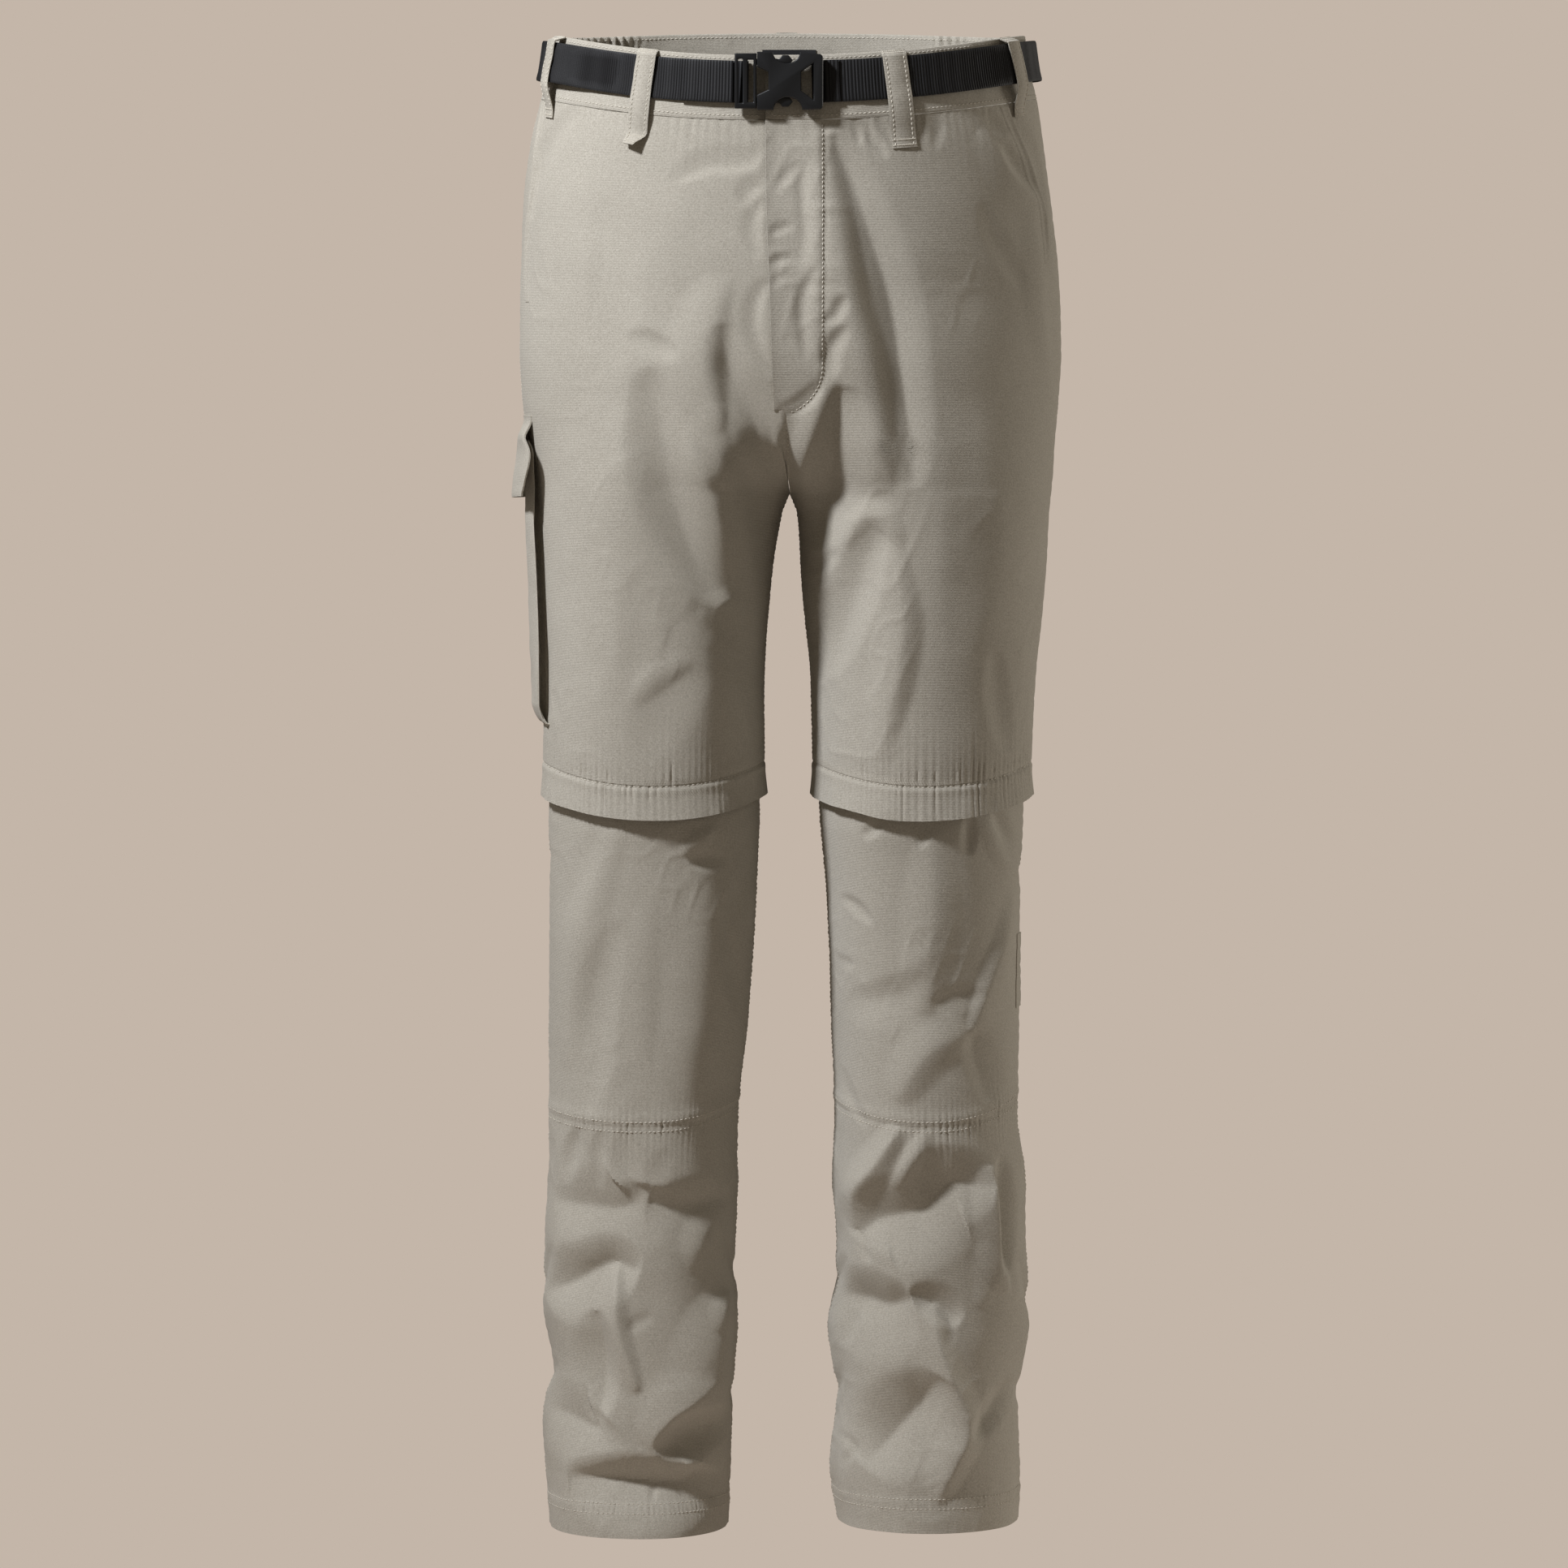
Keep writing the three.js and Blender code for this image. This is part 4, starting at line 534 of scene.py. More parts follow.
def crinkle(leg, points, normals):
    x, y, z = points[..., 0], points[..., 1], points[..., 2]
    shares = np.abs(normals[..., :2]) ** 3
    shares = shares / np.maximum(shares.sum(-1, keepdims=True), 1e-6)
    lower = smooth(*wrinkles["lower"], z)
    move = 0
    sideways = (y, x + 700 * (y > 0))  # the back's pattern is not the front's
    for across, share, seed in zip(sideways, (shares[..., 0], shares[..., 1]), wrinkles["seeds"][leg]):
        wide, tall, deep, more = wrinkles["broad"]
        broad = softNoise(across / wide, z / tall, seed) * (deep + more * lower)
        wide, tall, deep, more = wrinkles["middle"]
        middle = softNoise(across / wide + z / 60, z / tall, seed + 1) * (deep + more * lower)
        wide, tall, deep = wrinkles["ridge"]
        ridged = 1 - np.abs(softNoise(across / wide - z / 40, z / tall, seed + 2)) * 2.6
        wide, tall = wrinkles["patch"]
        patch = smooth(0.05, 0.6, softNoise(across / wide, z / tall, seed + 4))
        move = move + share * (broad + middle + deep * np.maximum(ridged, 0) * patch)
    return move


flyEdge = {
    "straightEnd": -215, "bottom": -249, "wide": 26, "standOut": 1.3,
    "lip": 1.5, "lipWide": 6,  # the free edge over the zip
    "groove": 0.7, "grooveWide": 2.2, "drawn": 0.9, "drawnEvery": 7, "drawnWide": 9,
}


def flyLine(z):
    below = np.clip((flyEdge["straightEnd"] - z) / (flyEdge["straightEnd"] - flyEdge["bottom"]), 0, 1)
    lead = between(middleRows, z, 1)
    return lead + (flyEdge["wide"] - lead) * np.sqrt(1 - below ** 2)


def flyMove(points, z):
    line, lead = flyLine(z), between(middleRows, z, 1)
    onFront = points[..., 1] < 0
    x, bottom = points[..., 0], flyEdge["bottom"]
    inside = smooth(line + 1.5, line - 1.5, x) * smooth(bottom - 1, bottom + 5, z)
    groove = bell(x - line, flyEdge["grooveWide"]) * flyEdge["groove"] * (z > bottom)
    drawn = softNoise(z / flyEdge["drawnEvery"], 0.5, 77) * flyEdge["drawn"]
    drawn = drawn * np.exp(-np.abs(x - line) / flyEdge["drawnWide"]) * (z > bottom - 4)
    lip = flyEdge["lip"] * np.exp(-np.abs(x - lead) / flyEdge["lipWide"])
    return onFront * (inside * (flyEdge["standOut"] + lip) - groove + drawn)


def clothPoints(leg, station, z, detail=True):
    station, z = sameShape(station, z)
    points = formPoints(leg, station, z)
    normals = formNormals(leg, station, z)
    move = foldMove(leg, points, normals)
    if detail:
        move = move + puckerMove(leg, station, z) + crinkle(leg, points, normals)
        if leg == "left":
            move = move + flyMove(points, z)
    knee = body["knee"]  # the zip holds the cloth calm there
    free = smooth(knee - 2, knee + 6, z) + smooth(knee - 2, knee - 12, z)
    return points + normals * (move * np.clip(0.35 + 0.65 * free, 0, 1))[..., None]


def stationAt(leg, z, x, backHalf=False):
    z, x = sameShape(z, x)
    low, high = np.full(z.shape, 1.0 if backHalf else 0.0), np.full(z.shape, 0.5)
    side = sideOf[leg]
    for _ in range(24):
        half = (low + high) / 2
        short = side * formPoints(leg, half, z)[..., 0] < side * x
        low, high = np.where(short, half, low), np.where(short, high, half)
    return (low + high) / 2


def aroundWaist(turn, z):
    turn, z = sameShape(turn, z)
    station = 1 - np.abs(turn)
    return np.where((turn >= 0)[..., None], formPoints("left", station, z), formPoints("right", station, z))


def backTurn(x):
    leg = "left" if x >= 0 else "right"
    return sideOf[leg] * (1 - float(stationAt(leg, 10, x, True)))


# Meshes
smoothUnder = 40  # degrees between two faces of cloth


def selectOnly(thing):
    bpy.ops.object.select_all(action="DESELECT")
    bpy.context.view_layer.objects.active = thing
    thing.select_set(True)


def makeObject(name, points, faces, uv, smoothAngle=None):
    mesh = bpy.data.meshes.new(name)
    mesh.from_pydata((np.asarray(points, float) * 0.001).tolist(), [], faces)
    corner = np.zeros(len(mesh.loops), int)
    mesh.loops.foreach_get("vertex_index", corner)
    layer = mesh.uv_layers.new(name="UVMap")
    layer.data.foreach_set("uv", (np.asarray(uv, float)[corner] * 0.001).ravel())
    mesh.validate()
    thing = bpy.data.objects.new(name, mesh)
    scene.collection.objects.link(thing)
    selectOnly(thing)
    if smoothAngle is None:
        bpy.ops.object.shade_smooth()
    else:
        bpy.ops.object.shade_smooth_by_angle(angle=math.radians(smoothAngle))
    return thing


def gridFaces(rows, columns, flip, ring=False):
    spans = columns if ring else columns - 1
    r, c = np.meshgrid(np.arange(rows - 1), np.arange(spans), indexing="ij")
    a = r * columns + c
    b = a + columns
    after = (c + 1) % columns
    d, e = r * columns + after, (r + 1) * columns + after
    faces = np.stack([a, b, e, d], -1).reshape(-1, 4)
    return (faces[:, ::-1] if flip else faces).tolist()


def apply(thing, kind, **settings):
    selectOnly(thing)
    modifier = thing.modifiers.new(kind.lower(), kind)
    for key, value in settings.items():
        setattr(modifier, key, value)
    bpy.ops.object.modifier_apply(modifier=modifier.name)
    return thing


def shellFaces(rows, columns, r, c, flip):
    outer = gridFaces(rows, columns, flip)
    start, wide = rows * columns, len(c)
    inner = [[start + i for i in face[::-1]] for face in gridFaces(len(r), wide, flip)]
    rims = []
    for k in range(wide - 1):
        top = [*range(c[k], c[k + 1] + 1), start + k + 1, start + k]
        foot = [(rows - 1) * columns + i for i in range(c[k + 1], c[k] - 1, -1)]
        rims += [top, [*foot, start + (len(r) - 1) * wide + k, start + (len(r) - 1) * wide + k + 1]]
    for k in range(len(r) - 1):
        near = [i * columns for i in range(r[k + 1], r[k] - 1, -1)]
        far = [i * columns + columns - 1 for i in range(r[k], r[k + 1] + 1)]
        rims += [[*near, start + k * wide, start + (k + 1) * wide],
                 [*far, start + (k + 2) * wide - 1, start + (k + 1) * wide - 1]]
    return outer + inner + [face[::-1] if flip else face for face in rims]


# A cloth shell like Solidify's, whose unseen inner wall has half the rows and columns
def lightSheet(name, points, flip, thick, straight=None):
    rows, columns = points.shape[:2]
    r = np.unique([*range(0, rows, 2), rows - 1])
    c = np.unique([*range(0, columns, 2), columns - 1])
    normal = unit(np.cross(np.gradient(points, axis=0), np.gradient(points, axis=1)) * (-1 if flip else 1))
    inner = (points - normal * thick)[r][:, c]
    run = np.cumsum(np.linalg.norm(np.diff(points, axis=1, prepend=points[:, :1]), axis=-1), axis=1)
    straight = columns // 2 if straight is None else straight  # the column that the warp threads follow
    uv = np.stack([run - run[:, straight][:, None], points[..., 2]], -1)
    places = np.concatenate([points.reshape(-1, 3), inner.reshape(-1, 3)])
    cut = np.concatenate([uv.reshape(-1, 2), uv[r][:, c].reshape(-1, 2)])
    faces = shellFaces(rows, columns, r.tolist(), c.tolist(), flip)
    return makeObject(name, places, faces, cut, smoothUnder)


def clothSheet(name, points, flip, thick, ring=False):
    rows, columns = points.shape[:2]
    width = np.linalg.norm(np.diff(points, axis=1), axis=-1)
    across = np.concatenate([np.zeros((rows, 1)), np.cumsum(width, axis=1)], axis=1)
    across = across - across[:, columns // 2][:, None]
    uv = np.stack([across, points[..., 2]], -1)
    thing = makeObject(name, points.reshape(-1, 3), gridFaces(rows, columns, flip, ring), uv.reshape(-1, 2))
    apply(thing, "SOLIDIFY", thickness=thick * 0.001, offset=-1.0, use_even_offset=False, use_rim=True)
    bpy.ops.object.shade_smooth_by_angle(angle=math.radians(smoothUnder))
    return thing


def evenSteps(start, end, step):
    return np.linspace(start, end, max(2, int(round(abs(end - start) / step)) + 1))


# Panels
panels = {
    "front": (1.75, 2.1), "back": (2.6, 2.8),  # steps across and down
    "seamSteps": (0, 0.8, 1.8, 3.2), "seamDip": 0.6, "seamRidge": (4.2, 2.2, 0.55),
    "underFly": 0.018, "underFlyReach": 0.06,
    "kneeFine": 24, "fineStep": 0.55,  # closer rows above the knee cover
}


def stationSteps(start, end, step):
    edge = np.array(panels["seamSteps"]) / thighRound
    middle = evenSteps(start + edge[-1] * 1.6, end - edge[-1] * 1.6, step / thighRound)
    return np.concatenate([start + edge, middle, (end - edge)[::-1]])


def heightSteps(start, end, step, fineFrom):
    fine = evenSteps(fineFrom, end, step * panels["fineStep"])
    return np.concatenate([evenSteps(start, fineFrom, step)[:-1], fine])


def seamDip(station):
    distance = np.min([np.abs(station - place) for place in (0.5, 1.0, 0.0)], axis=0) * thighRound
    place, wide, high = panels["seamRidge"]
    return panels["seamDip"] * (high * bell(distance - place, wide) - bell(distance, 1.5))


def upperPoints(leg, station, z):
    dip = seamDip(station)
    dip = np.where((station < 0.1) & (z > body["crotch"] + 40), 0, dip)
    if leg == "right":
        dip = dip - smooth(0.004, -0.004, station) * (z > body["crotch"] + 10)
    return clothPoints(leg, station, z) + formNormals(leg, station, z) * dip[..., None]


def addUpperPanel(leg, half):
    across, down = panels[half]
    z = heightSteps(body["bandBottom"] - 0.3, body["knee"] - 0.1, down, body["knee"] + panels["kneeFine"])
    start, end = (0.0, 0.5) if half == "front" else (0.5, 1.0)
    u = stationSteps(start, end, across)
    station, height = np.meshgrid(u, z)
    if (leg, half) == ("right", "front"):
        under = panels["underFly"] * smooth(body["crotch"] + 6, body["crotch"] + 40, height)
        station = station - under * (1 - smooth(0, panels["underFlyReach"], station))
    points = upperPoints(leg, station, height)
    sideSeam = -1 if half == "front" else 0
    thing = lightSheet(f"{half}_panel_{leg}", points, sideOf[leg] < 0, body["clothThick"], sideSeam)
    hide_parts(f"{half}_{leg}")
    if (leg, half) == ("left", "front"):
        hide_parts("fly")
    return thing


# The shorts' hem hangs free over the zip and stands off the lower leg
kneeCover = {
    "rows": (0, 0.7, 1.4, 2.2, 3.4, 5, 7, 9.5, 12, 15, 18, 21, 23.5, 25), "deep": 25,
    "flare": 1.9, "thick": 1.3, "across": 1.6, "wave": 0.9, "smallWave": 0.5,
    "seamDip": 0.7, "puff": 0.5, "gatherEvery": 8.5, "gather": (0.34, 0.4), "gatherReach": 9,
    "seeds": {"right": 500, "left": 520},
}


def coverPoints(leg, station, z):
    station, z = sameShape(station, z)
    level = np.full(z.shape, float(body["knee"]))
    edge = clothPoints(leg, station, level)
    normals = formNormals(leg, station, level)
    fall = body["knee"] - z
    share = np.clip(fall / kneeCover["deep"], 0, 1)
    seed = kneeCover["seeds"][leg]
    ripple = kneeCover["wave"] * softNoise(station * 26, 0.5, seed)
    ripple = ripple + kneeCover["smallWave"] * softNoise(station * 75, z / 30, seed + 1)
    out = kneeCover["flare"] * share ** 1.2 + ripple * share + kneeCover["puff"] * bell(fall - 4, 3)
    dip = kneeCover["seamDip"] * bell(fall - 1.4, 1.3)
    phase = station * body["roundLeg"] / kneeCover["gatherEvery"]
    phase = phase + 0.45 * softNoise(station * 66, 0.5, seed + 4)
    least, more = kneeCover["gather"]
    strength = (least + more * softNoise(station * 70, 0.5, seed + 2)) * (1 + smooth(0.18, 0.3, station))
    fading = np.exp(-fall / kneeCover["gatherReach"]) * (1 - np.exp(-fall / 1.5))
    out = out - dip + gatherWave(phase, 0.3) * strength * fading
    made = edge.copy()
    made[..., 0] += normals[..., 0] * out
    made[..., 1] += normals[..., 1] * out
    made[..., 2] -= fall * (1 + 0.05 * softNoise(station * 14, 0.5, seed + 3))
    return made


def addKneeCover(leg):
    u = evenSteps(0, 1, kneeCover["across"] / thighRound)[:-1]
    station, height = np.meshgrid(u, body["knee"] - np.array(kneeCover["rows"]))
    thing = clothSheet(f"knee_cover_{leg}", coverPoints(leg, station, height), sideOf[leg] < 0,
                       kneeCover["thick"], ring=True)
    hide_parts(f"zip_cover_{leg}")
    return thing


# Lower legs: knee front, shin front below the cross seam, calf back, with a turned hem
hemFold = {"tall": 25, "standOut": 0.55}
crossLap = {
    "out": 0.7, "tall": 5, "ditch": 0.4, "ditchWide": 1.6,
    "fineAbove": 10, "fineBelow": 18, "fineStep": 1.5,  # closer rows beside the cross seam
}


def lowerPoints(leg, station, z):
    station, z = sameShape(station, z)
    hem = body["hem"][leg]
    move = -body["lowerInset"] * smooth(*body["insetRows"], z) + seamDip(station)
    move = move + hemFold["standOut"] * smooth(hem + hemFold["tall"] + 1, hem + hemFold["tall"] - 2, z)
    front = station <= 0.5
    below = z - crossLine(leg, station)
    lap = bell(below - crossLap["tall"], crossLap["tall"])
    lap = lap - crossLap["ditch"] * bell(below, crossLap["ditchWide"])
    move = move + front * crossLap["out"] * lap
    return clothPoints(leg, station, z) + formNormals(leg, station, z) * move[..., None]


def addLowerPanel(leg, which):
    hem, cross = body["hem"][leg], body["crossSeam"]
    onBack = which == "calf_back"
    top, bottom = {"knee_front": (body["lowerTop"], cross), "shin_front": (cross, hem),
                   "calf_back": (body["lowerTop"], hem)}[which]
    start, end = (0.5, 1.0) if onBack else (0.0, 0.5)
    across, down = panels["back" if onBack else "front"]
    fine = evenSteps(cross - crossLap["fineBelow"], cross + crossLap["fineAbove"], crossLap["fineStep"])
    fine = [h for h in fine if bottom < h < top and not onBack]
    z = np.unique(np.concatenate([evenSteps(top, bottom, down), fine]))[::-1]
    u = stationSteps(start, end, across)
    station, height = np.meshgrid(u, z)
    if not onBack:
        farEnd = top if which == "knee_front" else bottom
        height = height + (crossLine(leg, station) - cross) * smooth(farEnd, cross, height)
    slit = body["slitGap"][leg] / 2 / body["roundLeg"] * 1.5 * smooth(hem + body["slitTall"], hem, height)
    if which == "shin_front":
        station = station - slit * smooth(0.42, 0.5, station)
    if onBack:
        station = station + slit * smooth(0.58, 0.5, station)
    points = lowerPoints(leg, station, height)
    thing = lightSheet(f"{which}_panel_{leg}", points, sideOf[leg] < 0, body["clothThick"])
    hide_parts(f"{which}_{leg}")
    return thing


# The knee zip: a tape ring inside the cover
kneeZip = {"rows": (-490, -496, -500, -503, -508, -516), "across": 6, "inside": 2.4, "thick": 0.9}


def addKneeZip(leg):
    u = evenSteps(0, 1, kneeZip["across"] / thighRound)[:-1]
    station, height = np.meshgrid(u, np.array(kneeZip["rows"]))
    form = lambda a, b: formPoints(leg, a, b)
    inside = -kneeZip["inside"] - body["lowerInset"] * smooth(body["knee"], body["lowerTop"], height)
    knee = np.full(height.shape, float(body["knee"]))
    points = raised(form, station, height, sideOf[leg], inside)
    points = points + (clothPoints(leg, station, knee, False) - form(station, knee))
    tape = clothSheet(f"knee_zip_tape_{leg}", points, sideOf[leg] < 0, kneeZip["thick"], ring=True)
    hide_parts(f"knee_zip_{leg}")
    return tape


# Strips with a closed profile
def sweptStrip(name, surface, facing, along, loop, offsetAt, smoothAngle=50):
    across = np.array([v for v, _ in loop], float)
    layer = np.array([side for _, side in loop], float)
    u, v = np.meshgrid(along, across, indexing="ij")
    side = np.broadcast_to(layer, u.shape)
    points = raised(surface, u, v, facing, offsetAt(u, v, side))
    rows, columns = u.shape
    faces = gridFaces(rows, columns, False, ring=True)
    faces.append(list(range(columns)))
    faces.append(list(range((rows - 1) * columns, rows * columns))[::-1])
    middle = points[:, columns // 4]
    run = np.concatenate([[0], np.cumsum(np.linalg.norm(np.diff(middle, axis=0), axis=-1))])
    uv = np.stack([np.broadcast_to(run[:, None], u.shape), v], -1)
    thing = makeObject(name, points.reshape(-1, 3), faces, uv.reshape(-1, 2))
    bpy.ops.object.mode_set(mode="EDIT")
    bpy.ops.mesh.select_all(action="SELECT")
    bpy.ops.mesh.normals_make_consistent(inside=False)
    bpy.ops.object.mode_set(mode="OBJECT")
    bpy.ops.object.shade_smooth_by_angle(angle=math.radians(smoothAngle))
    return thing


# The waistband in five lengths; the sides are gathered by elastic. Turn 0 is the back middle, 1 the
# front over the wearer's left, -1 over the right
waistband = {
    "step": 0.0027, "gather": 3.0, "gatherEvery": 7.6, "wander": 2.2, "slack": 0.35, "ripple": 0.25,
    "puff": 0.25,
    "elasticStart": (0.19, 0.23), "elasticEnd": (0.51, 0.47),
    "lap": 1.3, "lapFrom": (0.955, 0.985), "tuck": 1.6,  # the left end laps over the right
    "lastTurns": (0.004, 0.009, 0.015, 0.02),  # past the front middle, behind the lap
    "lengths": [
        ("waistband_front_left", 1.0, 0.5, False), ("waistband_side_left", 0.5, 0.2, True),
        ("waistband_back", 0.2, -0.2, False), ("waistband_side_right", -0.2, -0.5, True),
        ("waistband_front_right", -0.5, -1.0, False),
    ],
}


def bandWave(turn, v):
    share = np.abs(turn)
    elastic = smooth(*waistband["elasticStart"], share) * smooth(*waistband["elasticEnd"], share)
    along = turn * body["halfWaist"]
    uneven = along + waistband["wander"] * softNoise(along / 17, 0.5, 611)
    gathers = np.cos(2 * np.pi * uneven / waistband["gatherEvery"]) - 0.6
    strength = 0.6 + 0.4 * softNoise(along / 15, v / 26, 612)
    slack = waistband["slack"] * softNoise(along / 24, v / 20, 613)
    slack = slack + waistband["ripple"] * softNoise(along / 9, v / 12, 614)
    return elastic * waistband["gather"] / 2 * gathers * strength + slack


def addWaistband(name, start, end, elastic):
    thick, out = body["bandThick"], body["bandStandOut"]
    top, bottom = body["bandTop"], body["bandBottom"]
    down = np.concatenate([[top - 0.9], np.linspace(20.6, -19, 11), [bottom + 0.9]])
    loop = [(top - 0.2, 0.72)] + [(v, 1.0) for v in down] + [(bottom, 0.8)]
    loop += [(bottom, 0.2)] + [(v, 0.0) for v in down[::-1]] + [(top - 0.2, 0.28)]
    step = waistband["step"] if elastic else waistband["step"] * 1.5
    along = evenSteps(start, end, step)
    if name == "waistband_front_right":
        along = np.concatenate([along, -1 - np.array(waistband["lastTurns"])])

    def surface(u, v):
        return aroundWaist(np.clip(u, -1.03, 1), v)

    def offsetAt(u, v, side):
        rows = smooth(1.6, 0, np.abs(v - top + 3)) + smooth(1.6, 0, np.abs(v - bottom - 3))
        overlap = waistband["lap"] * smooth(*waistband["lapFrom"], u)
        overlap = overlap - waistband["tuck"] * smooth(-0.985, -0.999, u)
        puff = np.sin(np.pi * np.clip((v - bottom) / (top - bottom), 0, 1)) - rows
        return out - thick * (1 - side) + bandWave(u, v) + overlap + waistband["puff"] * puff * (2 * side - 1)

    thing = sweptStrip(name.replace("waistband", "band"), surface, -1, along, loop, offsetAt)
    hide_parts(name)
    return thing


# Belt
belt = {
    "wide": 30, "thick": 1.4, "middle": 4.5, "bow": 5, "lift": 1.9, "rib": 1.95, "ribDeep": 0.3,
    "step": 0.49, "layerGap": 0.5, "bowAt": 0.55, "bowReach": 0.3, "selvedge": 1.4, "slack": 0.35,
    "rows": (0.15, 0.8, 2, 7, 15, 23, 28, 29.2, 29.85),  # down from the upper edge
}


def beltStandOff(turn):
    fromSide = np.abs(np.abs(turn) - belt["bowAt"]) / belt["bowReach"]
    return belt["lift"] + belt["bow"] * np.maximum(0, 1 - fromSide ** 2) ** 2


def frontTurn(x, z):
    leg = "left" if x >= between(middleRows, np.array(z), 1) else "right"
    station = float(stationAt(leg, z, x))
    return 1 - station if leg == "left" else station - 1


def addWebbing(name, node, start, end, layer):
    edge = belt["middle"] + belt["wide"] / 2
    down = edge - np.array(belt["rows"])
    loop = [(v, 1.0) for v in down] + [(v, 0.0) for v in down[::-1]]
    along = evenSteps(start, end, belt["step"] / body["halfWaist"])

    def offsetAt(u, v, side):
        selvedge = smooth(belt["wide"] / 2, belt["wide"] / 2 - belt["selvedge"], np.abs(v - belt["middle"]))
        ribs = belt["ribDeep"] * np.sin(2 * np.pi * u * body["halfWaist"] / belt["rib"]) * selvedge
        thick = belt["thick"] * (0.55 + 0.45 * selvedge)
        base = beltStandOff(u) + layer * (belt["thick"] + belt["layerGap"]) + belt["thick"] / 2
        sag = belt["slack"] * softNoise(u * 22, v / 40, 700 + layer)
        return base + sag + (side - 0.5) * thick + ribs * (2 * side - 1)

    thing = sweptStrip(name, aroundWaist, -1, along, loop, offsetAt, 60)
    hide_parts(node)
    return thing


# The moulded buckle halves are copies of the solids with their edges rounded
buckleEdge = {"wide": 0.00055, "steps": 2, "from": 32, "smooth": 38}  # width in metres, angles in degrees


def addBuckleHalf(node):
    thing = bpy.data.objects.new(node + "_moulded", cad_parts[node].data.copy())
    scene.collection.objects.link(thing)
    selectOnly(thing)
    bpy.ops.object.mode_set(mode="EDIT")
    bpy.ops.mesh.select_all(action="SELECT")
    bpy.ops.mesh.remove_doubles(threshold=0.00001)
    bpy.ops.mesh.dissolve_limited(angle_limit=math.radians(2))
    bpy.ops.mesh.normals_make_consistent(inside=False)
    bpy.ops.object.mode_set(mode="OBJECT")
    apply(thing, "BEVEL", width=buckleEdge["wide"], segments=buckleEdge["steps"], limit_method="ANGLE",
          angle_limit=math.radians(buckleEdge["from"]))
    bpy.ops.object.shade_smooth_by_angle(angle=math.radians(buckleEdge["smooth"]))
    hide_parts(node)
    return thing


# Belt loops
loops = {
    "wide": 15.5, "thick": 1.2, "gap": 0.5,
    "columns": (-1, -0.94, -0.72, -0.66, -0.6, 0, 0.6, 0.66, 0.72, 0.94, 1),
    "press": 0.3, "pressAt": 0.68, "bulge": 0.25, "wave": 0.3, "curl": (9, 3.2),
    # leg, middle at the top and foot, height of the foot, node
    "places": [
        ("right", -97, -107, -44, "loop_front_right"), ("left", 75, 84, -46, "loop_front_left"),
        ("right", -159.5, -170, -34, "loop_side_right"), ("left", 155, 167, -33, "loop_side_left"),
        ("back", 0, 0, -34, "loop_back"),
    ],
}


def loopStandOff(turn, z, bottom):
    overBelt = beltStandOff(turn) + belt["thick"] + loops["gap"] + 0.3
    low, high = belt["middle"] - belt["wide"] / 2, belt["middle"] + belt["wide"] / 2
    down = smooth(bottom + 4, low - 1, z)
    up = smooth(body["bandTop"], high + 0.8, z)
    onCloth = 0.5 + body["bandStandOut"] * smooth(body["bandBottom"] - 12, body["bandBottom"] - 2, z)
    return onCloth + (overBelt - onCloth) * np.minimum(down, up)


def loopSurface(leg, topX, bottomX, bottom):
    z = np.linspace(body["bandTop"] + 2, bottom - 4, 60)
    x = topX + (bottomX - topX) * (body["bandTop"] - z) / (body["bandTop"] - bottom)
    middles = stationAt(leg, z, x)
    half = loops["wide"] / 2 / body["halfWaist"]

    def surface(u, v):
        middle = np.interp(-v, -z, middles)
        return formPoints(leg, middle + half * u, v)

    return surface, lambda v: 1 - np.interp(-v, -z, middles)


def addLoop(leg, topX, bottomX, bottom, node):
    if leg == "back":
        half = backTurn(loops["wide"] / 2)
        surface, turnAt, facing = (lambda u, v: aroundWaist(half * u, v)), (lambda v: 0 * v), -1
    else:
        surface, turnAt = loopSurface(leg, topX, bottomX, bottom)
        facing = sideOf[leg]
    heights = np.concatenate([[body["bandTop"] + 0.3, 23.4, 22, 20.6, 19.5], evenSteps(17, -10, 3),
                              evenSteps(-12, bottom, 2)])
    v, u = np.meshgrid(heights, np.array(loops["columns"]), indexing="ij")
    thick = loops["thick"]
    press = loops["press"] * bell(np.abs(u) - loops["pressAt"], 0.07)
    edge = loops["press"] * smooth(0.9, 1.0, np.abs(u))
    bulge = loops["bulge"] * (1 - u * u) * smooth(bottom, bottom + 8, v)
    bulge = bulge + loops["wave"] * softNoise(v / 9, u, 801 + int(abs(topX)))
    turn = turnAt(v)
    base = loopStandOff(turn, v, bottom) + bulge
    normals = normalsOf(surface, u, v, facing, du=0.02)
    outer = surface(u, v) + normals * (base + thick - press - edge)[..., None]
    if node == "loop_front_right":  # its foot curls away from the cloth
        aside, forward = loops["curl"]
        curl = smooth(bottom + 9, bottom, v)
        outer[..., 0] -= aside * curl ** 1.5 * (0.6 - 0.4 * u)
        outer[..., 1] -= forward * curl ** 2
    thing = clothSheet(node.replace("loop", "belt_loop"), outer, facing < 0, thick * 0.8)
    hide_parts(node)
    return thing, outer, normals


# Hand pockets
handPockets = [
    {"leg": "right", "top": -24, "bottom": -168, "topX": -176, "bottomX": -188, "wide": 9, "gape": 2.1},
    {"leg": "left", "top": -24, "bottom": -140, "topX": 158, "bottomX": 188, "wide": 9, "gape": 2.1},
]
pocketColumns = (-0.06, 0, 0.1, 0.25, 0.4, 0.6, 0.75, 0.88, 1.0, 1.08)  # from the cloth to the open edge


